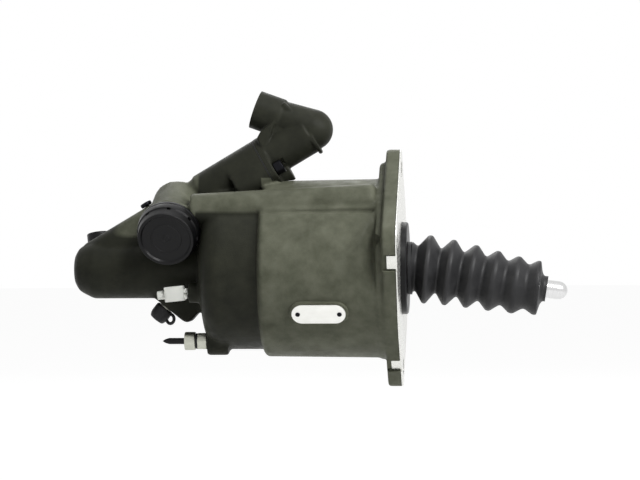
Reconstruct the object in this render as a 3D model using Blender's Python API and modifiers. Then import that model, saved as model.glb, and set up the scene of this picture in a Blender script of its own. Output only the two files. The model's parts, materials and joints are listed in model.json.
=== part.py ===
"""Hydro-pneumatic clutch servo: a cast housing with an air cylinder, a coaxial hydraulic cylinder, an inclined
control valve under a bolted elbow, and a push rod in a rubber bellows.

+X is the way the push rod moves out. The origin is the centre of the front plate's outer face. Sizes are in
millimetres and become metres as each mesh is made.
"""

import math

import bmesh
import bpy
from mathutils import Matrix, Vector
from mathutils.geometry import convex_hull_2d

MM = 0.001
GAP = 0.3
OVERRUN = 3.0
ROUND_LARGE = 32
ROUND_INNER = 24
ROUND_SMALL = 16
ROUND_TINY = 10

# Air cylinder and its flange
BORE_R = 51.0
SLEEVE_R = 64.0
SLEEVE_DRAFT = 1.2
SLEEVE_START = -100.0
REAR_R = 58.7
REAR_CORNER = 15.0
DOME_END = -148.5
DOME_RISE = 5.0
BORE_END = -137.5
BORE_CORNER = 15.0
PLATE_T = 1.0
FLANGE_T = 9.6
FLANGE_CENTRE_R = 67.0
CORNER_CIRCLE_R = 72.0
CORNER_R = 14.4
CORNER_ANGLES = (94.0, 164.0, 274.0, 344.0)
BOLT_HOLE_R = 5.5
SEAT_R = 54.2
SEAT_DEPTH = 5.7
SCALLOP_DEPTH = 9.0
SCALLOP_LENGTH = 14.5
SCALLOP_ANGLES = (169.5, 349.5)
FLANGE_FRONT = -PLATE_T - GAP
FLANGE_BACK = FLANGE_FRONT - FLANGE_T
SEAT_FLOOR = FLANGE_FRONT - SEAT_DEPTH

# Folded tabs of the front plate, in notches of the flange rim
TAB_ANGLES = (177.0, 253.0, 357.0, 73.0)
TAB_WIDTH = 9.4
TAB_LENGTH = 7.5
NOTCH_WIDTH = 12.6
NOTCH_DEPTH = 2.6

# Hydraulic cylinder, which is the nose at the rear
NOSE_R = 21.3
NOSE_END = -240.3
NOSE_CHAMFER_LENGTH = 13.0
NOSE_FACE_R = 13.5
HYD_BORE_R = 14.3
HYD_BORE_END = -226.0
BUSH_SEAT_R = 18.3
BUSH_SEAT_END = -147.0

# Control valve barrel, on an inclined axis in the plane Y = 0
VALVE_TILT = 30.5
VALVE_RISE = 18.9
VALVE_ORIGIN = (-96.6, 0.0, SLEEVE_R + VALVE_RISE)
BARREL_R = 15.7
BARREL_START = -57.4
CHANNEL_R = 14.2
CHANNEL_START = -150.0
JOINT_AT = -6.5
JOINT_BOSS_LENGTH = 26.0
SCREW_SIDE = 16.4
SCREW_DROP = 12.3
SCREW_LAND_R = 7.2
EAR_DROP = 16.0
EAR_R = 9.2
CHAMBER_R = 11.5
CHAMBER_END = -40.0
CONTROL_BORE_R = 8.0
CONTROL_BORE_END = -73.0
DRILL_R = 3.0
DRILL_END = -137.0
SCREW_R = 3.0
SCREW_DEPTH = 13.0

# Elbow for the air inlet
GASKET_T = 1.0
ELBOW_FLANGE_T = 4.5
ELBOW_R = 15.9
ELBOW_TURN = 36.4
ELBOW_NOSE_R = 15.1
MOUTH_TILT = 20.0
MOUTH_LENGTH = 43.7
COLLAR_R = 13.7
COLLAR_LENGTH = 18.3
COLLAR_CHAMFER = 1.4
PASSAGE_R = 12.9
PASSAGE_ROOT_R = 14.4
ELBOW_BORE_R = 9.5
MOUTH_BORE_R = 10.6
MOUTH_BORE_DEPTH = 14.0
LIP_R = 15.6
LIP_DROP = 2.3
LIP_AT = 32.0
LIP_LENGTH = 2.6
WEB_OVERHANG = 8.6
EAR_LENGTH = 13.0
SCREW_HEAD_R = 5.2
SCREW_HEAD_H = 6.6
HEX_SOCKET_R = 2.9
HEX_SOCKET_DEPTH = 3.5

# Exhaust boss, its cap and the air duct along the sleeve
EXHAUST_TILT = 26.5
EXHAUST_TURN = 3.2
EXHAUST_ORIGIN = (-166.2, -34.5, 29.0)
EXHAUST_R = 18.7
EXHAUST_LENGTH = 50.0
EXHAUST_COLLAR_R = 22.6
EXHAUST_COLLAR_T = 2.4
EXHAUST_BORE_R = 14.0
EXHAUST_BORE_DEPTH = 28.0
CAP_BACK_R = 22.6
CAP_FRONT_R = 20.4
CAP_HEIGHT = 16.6
CAP_WALL = 2.2
CAP_RECESS = 1.8
CAP_SPIGOT_DEPTH = 8.0
SLOT_COUNT = 8
SLOT_START = 97.8
SLOT_WIDTH = 3.0
SLOT_HEIGHT = 1.6
DUCT_R = 11.5
DUCT_BORE_R = 6.5
DUCT_FRONT = (-17.0, -35.5, 49.6)
DUCT_REAR = (-160.0, -36.5, 42.5)

# Small bosses of the casting
FITTING_Y = -14.0
FITTING_Z = -52.2
FITTING_BOSS_Z = -54.2
FITTING_BOSS_R = 8.3
FITTING_BOSS_END = -141.3
FITTING_BOSS_FRONT = -125.8
FITTING_HOLE_R = 4.3
FITTING_HOLE_END = -126.5
FITTING_STEM_END = -128.5
HEX_R = 6.7
HEX_LENGTH = 7.0
TAIL_R = 3.4
RING_GAP = 1.6
RING_R = 6.65
RING_LENGTH = 7.8
RING_BORE_R = 3.7
RING_NECK_R = 2.6
NEEDLE_R = 2.3
NEEDLE_LENGTH = 11.5
NEEDLE_POINT = 5.0
PORT_Y = -30.0
PORT_Z = -18.6
PORT_BOSS_R = 7.5
PORT_BOSS_END = -153.0
PORT_HOLE_R = 3.6
PLUG_TILT = -5.7
PLUG_BODY = (11.0, 11.0, 16.4)
PLUG_STEM_R = 3.1
PLUG_STEM_LENGTH = 6.2
PLUG_SPIGOT_LENGTH = 7.0
LUG_HALF_T = 8.0
LUG_TIP = (-157.6, -33.6)
LUG_TIP_R = 5.2
LUG_NORMAL = 231.1
LUG_EDGE = 27.4
BLEED_UP_EDGE = 16.2
BLEED_HOLE_R = 3.3
BLEED_HEX_R = 4.7
BLEED_HEX_TOP = 5.0
BLEED_NECK_R = 2.2
BLEED_TIP_R = 3.0
BLEED_TOP = 10.4
BLEED_CAP_R = 6.8
BLEED_CAP_LOW = 0.9
BLEED_CAP_TOP = 12.2
LOOP_R = 3.4
LOOP_STRAP_R = 1.2
LOOP_AT = (0.0, 7.9, 5.2)
LOOP_DIRECTION = (-0.5, -0.87, 0.0)
REAR_PORT_AT = (-221.1, 15.0, 20.5)
REAR_PORT_DIRECTION = (0.0, 0.17, 0.985)
REAR_BOSS_R = 9.6
REAR_HOLE_R = 5.3
REAR_HEAD_R = 9.2
REAR_HEAD_H = 6.5
REAR_PLUG_DEPTH = 8.0
KNOB_AT = -96.7
KNOB_R = 3.6
KNOB_H = 3.0
KNOB_HOLE_R = 1.9
KNOB_DEPTH = 6.0
PAD_X = -56.8
PAD_ANGLE = 208.4
PAD_LENGTH = 42.5
PAD_WIDTH = 17.6
PAD_RISE = 2.4
GROOVE_ANGLE = 138.3
GROOVE_WIDTH = 3.6
GROOVE_DEPTH = 1.8
RIVET_SHANK_R = 1.1
RIVET_HEAD_R = 1.85
RIVET_HEAD_H = 1.0
RIVET_SPACING = 29.7
RIVET_DEPTH = 3.5
LABEL_LENGTH = 38.5
LABEL_WIDTH = 14.8
LABEL_T = 0.8
THIN_GAP = 0.15

# Power piston, ball joint and push rod
PISTON_CLEARANCE = 0.4
PISTON_R = BORE_R - PISTON_CLEARANCE
PISTON_FRONT = -8.6
PISTON_BACK = -30.6
PISTON_RIM = 9.0
WEB_FRONT = -20.6
WEB_BACK = -26.6
SEAL_FRONT = -18.5
SEAL_BACK = -24.5
SEAL_DEPTH = 5.0
GUIDE_FRONT = -11.0
GUIDE_BACK = -15.2
GUIDE_DEPTH = 2.4
PIVOT_X = -20.0
BALL_R = 9.0
BALL_SEAT_T = 2.2
HUB_R = 20.0
HUB_BACK = -38.0
SEAT_MOUTH_ANGLE = 43.0
ROD_R = 6.6
ROD_NECK_R = 5.0
ROD_DROOP = 7.1
ROD_REACH = 140.6

# Hydraulic plunger and the pretension spring
PLUNGER_R = 14.0
PLUNGER_END = -152.0
SPIGOT_R = 10.0
SPIGOT_LENGTH = 5.0
SPRING_WIRE_R = 2.0
SPRING_TURNS = 5.0
SPRING_REAR_R = 27.0
SPRING_FRONT_R = 41.0
CUP_FRONT = 6.5
CUP_BACK = 1.6
CUP_DEPTH = 4.0

# Control plunger, poppet and their spring, along the valve's axis
CONTROL_NOSE_R = 4.2
CONTROL_GROOVE = 2.2
CONTROL_SHOULDER = 4.0
GROOVE_FRONT = 14.0
GROOVE_BACK = 17.0
VALVE_SEAT_T = 4.3
SEAT_BORE_R = 5.4
POPPET_R = 8.6
POPPET_T = 4.0
POPPET_STEM_R = 2.6
POPPET_OVERLAP = 2.2
VALVE_GUIDE_T = 5.2
VALVE_GUIDE_WALL = 2.3
VALVE_GUIDE_FLOOR = 2.0
VALVE_COIL_R = 5.6
VALVE_WIRE_R = 0.7
VALVE_TURNS = 4

# Bellows: base, six folds and the lip on the rod. The centre line sags as the rod droops.
COVER_T = 5.2
COVER_HOLE_R = 18.2
COVER_SPIGOT_R = 33.5
COVER_PROUD = 4.2
BOOT_START = 4.5
BOOT_BASE_R = 19.2
BOOT_VALLEY_R = 15.9
BOOT_FIRST_PEAK_R = 24.5
BOOT_LAST_PEAK_R = 19.3
BOOT_FIRST_PEAK_X = 18.0
BOOT_FOLD_PITCH = 15.9
BOOT_FOLDS = 6
BOOT_END = 104.5
BOOT_LIP_R = 9.2
BOOT_WALL = 1.8
BOOT_HANG = 1.6
BOOT_BEND = 1.3
BOOT_BEND_START = 6.5


def clear_scene():
    for obj in list(bpy.data.objects):
        bpy.data.objects.remove(obj)


def new_collection(name, parent, helper=False):
    group = bpy.data.collections.new(name)
    parent.children.link(group)
    group.hide_render = helper
    return group


def make_material(name, hex_colour, metallic, roughness):
    channels = [int(hex_colour[i : i + 2], 16) / 255 for i in (0, 2, 4)]
    linear = [c / 12.92 if c <= 0.04045 else ((c + 0.055) / 1.055) ** 2.4 for c in channels]
    material = bpy.data.materials.new(name)
    material.use_nodes = True
    shader = material.node_tree.nodes["Principled BSDF"]
    shader.inputs["Base Color"].default_value = (*linear, 1.0)
    shader.inputs["Metallic"].default_value = metallic
    shader.inputs["Roughness"].default_value = roughness
    return material


FINISHES = {
    "cast": ("62645A", 0.35, 0.5),
    "bright_plate": ("DCDCDC", 0.9, 0.25),
    "zinc": ("B9BAAE", 0.85, 0.35),
    "steel": ("B4B6B8", 0.95, 0.25),
    "chrome": ("D8D8DA", 1.0, 0.08),
    "black_steel": ("18181C", 0.6, 0.35),
    "black_plastic": ("1E1E20", 0.0, 0.25),
    "rubber": ("202022", 0.0, 0.6),
    "nylon": ("E4E6E0", 0.0, 0.4),
    "anodised": ("8E9088", 0.8, 0.4),
    "brass": ("B5995A", 0.9, 0.3),
    "label": ("ECECE8", 0.5, 0.35),
    "felt": ("55554F", 0.0, 0.9),
}


def frame_at(origin, direction, up=(0.0, 0.0, 1.0)):
    """A placing matrix in millimetres: local Z along direction, local Y as near to up as it can be."""
    z = Vector(direction).normalized()
    y = (Vector(up) - z * Vector(up).dot(z)).normalized()
    x = y.cross(z)
    matrix = Matrix((x, y, z)).transposed().to_4x4()
    matrix.translation = Vector(origin)
    return matrix


def polar(radius, degrees):
    return (radius * math.cos(math.radians(degrees)), radius * math.sin(math.radians(degrees)))


def arc(centre, radius, start, end, steps):
    """Points from start to end, in degrees, about centre."""
    return [
        tuple(Vector(centre) + Vector(polar(radius, start + (end - start) * i / steps)))
        for i in range(steps + 1)
    ]


def circle(centre, radius, steps=ROUND_SMALL):
    return arc(centre, radius, 0, 360 * (steps - 1) / steps, steps - 1)


def hull(circles, steps=ROUND_LARGE):
    """The taut outline round a set of (centre, radius) circles."""
    points = [Vector(p) for centre, radius in circles for p in circle(centre, radius, steps)]
    return [tuple(points[i]) for i in convex_hull_2d(points)]


def stadium(length, width, steps=ROUND_SMALL):
    reach = (length - width) / 2
    return hull([((-reach, 0), width / 2), ((reach, 0), width / 2)], steps)


class Workshop:
    """Makes the shapes and keeps the collections and materials that they go in."""

    def __init__(self):
        root = bpy.context.scene.collection
        self.parts = new_collection("clutch_servo", root)
        self.helpers = new_collection("helpers", root, helper=True)
        self.materials = {name: make_material(name, *look) for name, look in FINISHES.items()}
        self.booleans = []

    def helper_group(self, name):
        return new_collection(name, self.helpers, helper=True)

    def keep(self, obj, place, group, finish):
        """Makes the evaluated shape a plain closed mesh, in metres, and puts it in its place."""
        bpy.context.scene.collection.objects.link(obj)
        bpy.context.view_layer.update()
        evaluated = obj.evaluated_get(bpy.context.evaluated_depsgraph_get())
        mesh = bpy.data.meshes.new_from_object(evaluated)
        name = obj.name
        bpy.data.objects.remove(obj)
        mesh.name = name
        shape = bmesh.new()
        shape.from_mesh(mesh)
        bmesh.ops.remove_doubles(shape, verts=shape.verts, dist=0.004)
        bmesh.ops.recalc_face_normals(shape, faces=shape.faces)
        bmesh.ops.scale(shape, vec=(MM, MM, MM), verts=shape.verts)
        shape.to_mesh(mesh)
        shape.free()
        mesh.shade_smooth()
        mesh.set_sharp_from_angle(angle=math.radians(35))
        kept = bpy.data.objects.new(name, mesh)
        placing = place.copy()
        placing.translation = placing.translation * MM
        kept.matrix_world = placing
        (group or self.parts).objects.link(kept)
        if group:
            kept.hide_render = True
            kept.display_type = "WIRE"
        if finish:
            mesh.materials.clear()
            mesh.materials.append(self.materials[finish])
        return kept

    def turned(self, name, profile, place, group=None, finish=None, steps=ROUND_SMALL, ring=False):
        """A profile of (radius, height) points turned about local Z. A ring's profile is a closed loop."""
        loop = list(profile)
        area = sum(a[0] * b[1] - b[0] * a[1] for a, b in zip(loop, loop[1:] + loop[:1]))
        if area > 0:
            loop.reverse()
        mesh = bpy.data.meshes.new(name)
        edges = [(i, i + 1) for i in range(len(loop) - 1)]
        if ring:
            edges.append((len(loop) - 1, 0))
        mesh.from_pydata([(r, 0, h) for r, h in loop], edges, [])
        obj = bpy.data.objects.new(name, mesh)
        screw = obj.modifiers.new("turn", "SCREW")
        screw.axis = "Z"
        screw.steps = screw.render_steps = steps
        screw.use_merge_vertices = True
        screw.merge_threshold = 0.0001
        return self.keep(obj, place, group, finish)

    def rod(self, name, radius, low, high, place, group=None, finish=None, steps=ROUND_SMALL):
        profile = [(0, high), (radius, high), (radius, low), (0, low)]
        return self.turned(name, profile, place, group, finish, steps)

    def ring(self, name, inner, outer, low, high, place, group=None, finish=None, steps=ROUND_SMALL):
        profile = [(inner, high), (outer, high), (outer, low), (inner, low)]
        return self.turned(name, profile, place, group, finish, steps, ring=True)

    def flat(self, name, loops, low, high, place, group=None, finish=None):
        """An outline, with any holes after it, as a plate from low to high along local Z."""
        curve = bpy.data.curves.new(name, "CURVE")
        curve.dimensions = "2D"
        curve.fill_mode = "BOTH"
        curve.extrude = (high - low) / 2
        for loop in loops:
            spline = curve.splines.new("POLY")
            spline.points.add(len(loop) - 1)
            for point, (x, y) in zip(spline.points, loop):
                point.co = (x, y, 0, 1)
            spline.use_cyclic_u = True
        middle = Matrix.Translation((0, 0, (low + high) / 2))
        return self.keep(bpy.data.objects.new(name, curve), place @ middle, group, finish)

    def wire(self, name, points, radius, place, finish):
        """A round wire along points."""
        curve = bpy.data.curves.new(name, "CURVE")
        curve.dimensions = "3D"
        curve.bevel_depth = radius
        curve.bevel_resolution = 2
        curve.use_fill_caps = True
        spline = curve.splines.new("POLY")
        spline.points.add(len(points) - 1)
        for point, position in zip(spline.points, points):
            point.co = (*position, 1)
        return self.keep(bpy.data.objects.new(name, curve), place, None, finish)

    def ball(self, name, radius, place, group=None, finish=None, steps=ROUND_SMALL):
        """A sphere, turned from a half circle about local Z."""
        return self.turned(name, arc((0, 0), radius, 90, -90, steps // 2), place, group, finish, steps)

    def box(self, name, size, place, group=None, finish=None):
        mesh = bpy.data.meshes.new(name)
        shape = bmesh.new()
        bmesh.ops.create_cube(shape, size=1.0, matrix=Matrix.Diagonal((*size, 1.0)))
        shape.to_mesh(mesh)
        shape.free()
        return self.keep(bpy.data.objects.new(name, mesh), place, group, finish)


def combine(shop, target, group, operation):
    """Notes that the target is to be joined or cut with every shape of a helper collection."""
    shop.booleans.append((target, group, operation))


def add_booleans(shop):
    """Adds the Booleans last, so that they aren't worked out again for every shape that is made."""
    for target, group, operation in shop.booleans:
        modifier = target.modifiers.new(group.name, "BOOLEAN")
        modifier.operation = operation
        modifier.operand_type = "COLLECTION"
        modifier.collection = group
        modifier.solver = "EXACT"


def hang_on(empty, pieces):
    """Parents pieces to the empty at their joint, without moving them."""
    for piece in pieces:
        piece.parent = empty
        piece.matrix_parent_inverse = empty.matrix_world.inverted()


def joint_empty(shop, name, place):
    empty = bpy.data.objects.new(name, None)
    placing = place.copy()
    placing.translation = placing.translation * MM
    empty.matrix_world = placing
    shop.parts.objects.link(empty)
    bpy.context.view_layer.update()
    return empty


MAIN = frame_at((0, 0, 0), (1, 0, 0))
SIDE = frame_at((0, 0, 0), (0, -1, 0))
VALVE_DIRECTION = (math.cos(math.radians(VALVE_TILT)), 0, math.sin(math.radians(VALVE_TILT)))
VALVE = frame_at(VALVE_ORIGIN, VALVE_DIRECTION)
EXHAUST_DIRECTION = Matrix.Rotation(-math.radians(EXHAUST_TURN), 3, "Z") @ Vector((0, *polar(-1, EXHAUST_TILT)))
EXHAUST = frame_at(EXHAUST_ORIGIN, EXHAUST_DIRECTION)
TURN_POINT = VALVE @ Vector((0, 0, ELBOW_TURN))
MOUTH_DIRECTION = (-math.cos(math.radians(MOUTH_TILT)), 0, math.sin(math.radians(MOUTH_TILT)))
PASSAGE = frame_at(TURN_POINT, MOUTH_DIRECTION)
ROD_DIRECTION = (math.cos(math.radians(ROD_DROOP)), 0, -math.sin(math.radians(ROD_DROOP)))
ROD = frame_at((PIVOT_X, 0, 0), ROD_DIRECTION)
LUG_FOOT = Vector(LUG_TIP) + Vector(polar(LUG_TIP_R, LUG_NORMAL))
LUG_RISE = Vector(polar(1, LUG_NORMAL - 90))
BLEED_POINT = LUG_FOOT + LUG_RISE * BLEED_UP_EDGE
BLEED_NORMAL = polar(1, LUG_NORMAL)
BLEED = frame_at(
    (BLEED_POINT.x, 0, BLEED_POINT.y), (BLEED_NORMAL[0], 0, BLEED_NORMAL[1]), up=(1, 0, 0)
)
REAR_PORT = frame_at(REAR_PORT_AT, REAR_PORT_DIRECTION)
KNOB_FOOT = VALVE @ Vector((0, CHANNEL_R, KNOB_AT))
KNOB = frame_at(KNOB_FOOT, VALVE.col[1].to_3d(), up=VALVE_DIRECTION)
FITTING = frame_at((0, FITTING_Y, FITTING_Z), (1, 0, 0))
PORT = frame_at((0, PORT_Y, PORT_Z), (1, 0, 0))


def corner_centres():
    return [polar(CORNER_CIRCLE_R, angle) for angle in CORNER_ANGLES]


def flange_outline():
    corners = [(centre, CORNER_R) for centre in corner_centres()]
    return hull([((0, 0), FLANGE_CENTRE_R)] + corners)


def rim_frame(angle):
    """On the flange rim at this angle: local Z runs outwards along the rim's normal, local X along +X."""
    outline = flange_outline()
    ray = Vector(polar(1, angle))
    for a, b in zip(outline, outline[1:] + outline[:1]):
        a, b = Vector(a), Vector(b)
        side = b - a
        denominator = ray.x * side.y - ray.y * side.x
        if abs(denominator) < 1e-9:
            continue
        reach = (a.x * side.y - a.y * side.x) / denominator
        along = (a.x * ray.y - a.y * ray.x) / denominator
        if reach > 0 and 0 <= along <= 1:
            normal = Vector((side.y, -side.x)).normalized()
            normal = normal if normal.dot(ray) > 0 else -normal
            point = ray * reach
            return frame_at((0, point.x, point.y), (0, normal.x, normal.y), up=(1, 0, 0))


def pad_frame():
    y, z = polar(SLEEVE_R, PAD_ANGLE)
    return frame_at((PAD_X, y, z), (0, y, z), up=(0, 0, 1))


def joint_outline():
    """The outline that the barrel, the gasket and the elbow share at their joint."""
    lands = [((side * SCREW_SIDE, -SCREW_DROP), SCREW_LAND_R) for side in (-1, 1)]
    return hull([((0, 0), BARREL_R), ((0, -EAR_DROP), EAR_R)] + lands, ROUND_SMALL)


def screw_centres():
    return [(side * SCREW_SIDE, -SCREW_DROP) for side in (-1, 1)]


def body_profile():
    """The outside of the air cylinder, from the flange to the domed rear end."""
    corner = arc((REAR_R - REAR_CORNER, DOME_END + DOME_RISE + REAR_CORNER), REAR_CORNER, 0, -78, 5)
    dome_r = corner[-1][0]
    dome = [(dome_r * t, DOME_END + (corner[-1][1] - DOME_END) * t * t) for t in (0.66, 0.33, 0.0)]
    step = 2.0
    return (
        [(0, FLANGE_FRONT - 4), (SLEEVE_R + SLEEVE_DRAFT, FLANGE_FRONT - 4)]
        + [(SLEEVE_R, SLEEVE_START + step), (SLEEVE_R - step, SLEEVE_START), (REAR_R, SLEEVE_START)]
        + corner
        + dome
    )


def nose_profile():
    side_end = NOSE_END + NOSE_CHAMFER_LENGTH
    return [
        (0, BORE_END + 4),
        (NOSE_R, BORE_END + 4),
        (NOSE_R, side_end),
        (NOSE_R * 0.88, NOSE_END + 6.5),
        (NOSE_FACE_R, NOSE_END + 1.8),
        (NOSE_FACE_R * 0.55, NOSE_END + 0.4),
        (0, NOSE_END),
    ]


def bore_profile():
    """Everything that is bored from the front: cover seat, air cylinder, bush seat, hydraulic cylinder."""
    corner = arc((BORE_R - BORE_CORNER, BORE_END + BORE_CORNER), BORE_CORNER, 0, -90, 4)
    return (
        [(0, OVERRUN), (SEAT_R, OVERRUN), (SEAT_R, SEAT_FLOOR), (BORE_R, SEAT_FLOOR)]
        + corner
        + [(BUSH_SEAT_R, BORE_END), (BUSH_SEAT_R, BUSH_SEAT_END), (HYD_BORE_R, BUSH_SEAT_END)]
        + [(HYD_BORE_R, HYD_BORE_END), (HYD_BORE_R - 3, HYD_BORE_END - 2), (0, HYD_BORE_END - 2)]
    )


def lug_outline():
    """In X and Z: the bleed lug under the hydraulic cylinder, with a rounded tip."""
    corner = tuple(LUG_FOOT + LUG_RISE * LUG_EDGE)
    tip = arc(LUG_TIP, LUG_TIP_R, LUG_NORMAL, 325, 5)
    body = [(-149.0, -31.6), (-136.0, -31.6), (-136.0, -8.0), (corner[0], -8.0)]
    return [corner] + tip + body


def add_casting_shapes(shop, group):
    """Everything that the casting has beyond the turned air cylinder."""
    shop.flat("flange", [flange_outline()], FLANGE_BACK, FLANGE_FRONT, MAIN, group)
    shop.turned("nose", nose_profile(), MAIN, group, steps=ROUND_LARGE)
    shop.rod("barrel", BARREL_R, BARREL_START, JOINT_AT, VALVE, group, steps=ROUND_LARGE)
    shop.rod("channel", CHANNEL_R, CHANNEL_START, BARREL_START + 8, VALVE, group, steps=ROUND_LARGE)
    start = JOINT_AT - JOINT_BOSS_LENGTH
    shop.flat("joint_boss", [joint_outline()], start, JOINT_AT, VALVE, group)
    exhaust = [
        (0, 0),
        (EXHAUST_COLLAR_R, 0),
        (EXHAUST_COLLAR_R, -EXHAUST_COLLAR_T),
        (EXHAUST_R, -EXHAUST_COLLAR_T - 1.6),
        (EXHAUST_R, -EXHAUST_LENGTH),
        (0, -EXHAUST_LENGTH),
    ]
    shop.turned("exhaust_boss", exhaust, EXHAUST, group, steps=ROUND_LARGE)
    duct_length = (Vector(DUCT_FRONT) - Vector(DUCT_REAR)).length
    round_end = arc((DUCT_R - 4, -4), 4, 90, 0, 3)
    duct = [(0, 0)] + round_end + [(DUCT_R, -duct_length), (0, -duct_length)]
    shop.turned("duct", duct, duct_frame(), group)
    shop.flat("lug", [lug_outline()], -LUG_HALF_T, LUG_HALF_T, SIDE, group)
    web = [(-196, 8), (-150, 8), (-126, 40), (-126, 62), (-150, 48)]
    shop.flat("web", [web], -6, 6, SIDE, group)
    boss = frame_at((0, FITTING_Y, FITTING_BOSS_Z), (1, 0, 0))
    shop.rod("fitting_boss", FITTING_BOSS_R, FITTING_BOSS_END, FITTING_BOSS_FRONT, boss, group)
    shop.rod("port_boss", PORT_BOSS_R, PORT_BOSS_END, BORE_END - 3, PORT, group)
    shop.rod("rear_boss", REAR_BOSS_R, -14, 0, REAR_PORT, group)
    pad = [stadium(PAD_LENGTH, PAD_WIDTH)]
    shop.flat("name_pad", pad, -6, PAD_RISE, pad_frame(), group)


def duct_frame():
    direction = Vector(DUCT_FRONT) - Vector(DUCT_REAR)
    return frame_at(DUCT_FRONT, direction)


def add_scallops(shop, group):
    """Bolt clearances: a tilted flat cut across the sleeve beside each side corner of the flange."""
    outer = SLEEVE_R + 12
    slope = SCALLOP_DEPTH / SCALLOP_LENGTH
    deep = FLANGE_BACK + 4
    shallow = FLANGE_BACK - SCALLOP_LENGTH - 6
    outline = [
        (deep, SLEEVE_R - SCALLOP_DEPTH - 4 * slope),
        (deep, outer),
        (shallow, outer),
        (shallow, SLEEVE_R + 6 * slope),
    ]
    for number, angle in enumerate(SCALLOP_ANGLES):
        radial = Vector((0, *polar(1, angle)))
        place = frame_at((0, 0, 0), Vector((1, 0, 0)).cross(radial), up=radial)
        shop.flat(f"scallop_{number}", [outline], -50, 50, place, group)


def add_casting_cuts(shop, group):
    shop.turned("bores", bore_profile(), MAIN, group, steps=ROUND_LARGE)
    valve = [
        (0, OVERRUN),
        (CHAMBER_R, OVERRUN),
        (CHAMBER_R, CHAMBER_END),
        (CONTROL_BORE_R, CHAMBER_END),
        (CONTROL_BORE_R, CONTROL_BORE_END),
        (DRILL_R, CONTROL_BORE_END - 2),
        (DRILL_R, DRILL_END),
        (0, DRILL_END),
    ]
    shop.turned("valve_bores", valve, VALVE, group)
    air = frame_at((-120, 0, 0), (0, 0, 1), up=(1, 0, 0))
    shop.rod("air_drilling", DRILL_R, 40, 66, air, group, steps=ROUND_TINY)
    shop.rod("exhaust_bore", EXHAUST_BORE_R, -EXHAUST_BORE_DEPTH, OVERRUN, EXHAUST, group)
    shop.rod("duct_bore", DUCT_BORE_R, -141, -8, duct_frame(), group, steps=ROUND_TINY)
    across = frame_at((-30, -35.5, 49.2), (0, 35.5, -49.2))
    shop.rod("vent_drilling", DRILL_R, 0, 20, across, group, steps=ROUND_TINY)
    for number, (y, z) in enumerate(corner_centres()):
        hole = frame_at((0, y, z), (1, 0, 0))
        shop.rod(f"bolt_hole_{number}", BOLT_HOLE_R, FLANGE_BACK - 8, OVERRUN, hole, group)
    for number, angle in enumerate(TAB_ANGLES):
        notch = rim_frame(angle) @ Matrix.Translation((0, (FLANGE_BACK + FLANGE_FRONT) / 2, 0))
        size = (NOTCH_WIDTH, FLANGE_T + 2, 2 * NOTCH_DEPTH)
        shop.box(f"notch_{number}", size, notch, group)
    radial = Vector((0, *polar(1, GROOVE_ANGLE)))
    start, end = SLEEVE_START - 5, FLANGE_BACK - 12
    middle = radial * SLEEVE_R + Vector(((start + end) / 2, 0, 0))
    groove = frame_at(middle, radial, up=(1, 0, 0))
    shop.box("ledge_groove", (GROOVE_WIDTH, end - start, 2 * GROOVE_DEPTH), groove, group)
    shop.rod("cap_clearance", CAP_BACK_R + 0.6, GAP / 2, CAP_HEIGHT + 6, EXHAUST, group)
    shop.rod("plug_clearance", REAR_HEAD_R + 0.6, GAP / 2, 10, REAR_PORT, group)
    shop.rod("spot_face", HEX_R + 0.8, FITTING_BOSS_END - 6, FITTING_BOSS_END, FITTING, group)
    shop.rod("fitting_hole", FITTING_HOLE_R, FITTING_BOSS_END - 5, FITTING_HOLE_END, FITTING, group)
    shop.rod("port_hole", PORT_HOLE_R, PORT_BOSS_END - 5, -144, PORT, group, steps=ROUND_TINY)
    shop.rod("bleed_hole", BLEED_HOLE_R, -18, 6, BLEED, group, steps=ROUND_TINY)
    shop.rod("rear_hole", REAR_HOLE_R, -14, 4, REAR_PORT, group, steps=ROUND_TINY)
    shop.rod("knob_hole", KNOB_HOLE_R, -KNOB_DEPTH - 1, 4, KNOB, group, steps=ROUND_TINY)
    for number, (x, y) in enumerate(screw_centres()):
        hole = VALVE @ Matrix.Translation((x, y, JOINT_AT))
        shop.rod(f"screw_hole_{number}", SCREW_R + GAP, -SCREW_DEPTH - 2, 4, hole, group, steps=ROUND_TINY)
    for number, x in enumerate(rivet_places()):
        hole = pad_frame() @ Matrix.Translation((x, 0, PAD_RISE))
        low = -RIVET_DEPTH - 0.5
        shop.rod(f"rivet_hole_{number}", RIVET_SHANK_R + GAP, low, 2, hole, group, steps=ROUND_TINY)


def make_housing(shop):
    scallops = shop.helper_group("bolt clearances")
    additions = shop.helper_group("casting additions")
    cuts = shop.helper_group("casting cuts")
    housing = shop.turned("main_housing", body_profile(), MAIN, finish="cast", steps=ROUND_LARGE)
    add_scallops(shop, scallops)
    add_casting_shapes(shop, additions)
    add_casting_cuts(shop, cuts)
    combine(shop, housing, scallops, "DIFFERENCE")
    combine(shop, housing, additions, "UNION")
    combine(shop, housing, cuts, "DIFFERENCE")


def make_front_plate(shop):
    """The bright sheet on the mounting face, with four tabs folded back over the rim."""
    holes = [circle(centre, BOLT_HOLE_R + 0.4) for centre in corner_centres()]
    opening = circle((0, 0), COVER_SPIGOT_R + GAP, ROUND_LARGE)
    loops = [flange_outline(), opening] + holes
    plate = shop.flat("front_plate", loops, -PLATE_T, 0, MAIN, finish="bright_plate")
    notches = shop.helper_group("plate notches")
    tabs = shop.helper_group("plate tabs")
    reach = NOTCH_DEPTH - GAP
    for number, angle in enumerate(TAB_ANGLES):
        rim = rim_frame(angle)
        shop.box(f"plate_notch_{number}", (NOTCH_WIDTH, 8, 2 * (reach - PLATE_T)), rim, notches)
        fold = rim @ Matrix.Translation((0, -TAB_LENGTH / 2, -reach + PLATE_T / 2))
        shop.box(f"tab_{number}", (TAB_WIDTH, TAB_LENGTH, PLATE_T), fold, tabs)
    combine(shop, plate, notches, "DIFFERENCE")
    combine(shop, plate, tabs, "UNION")


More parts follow.
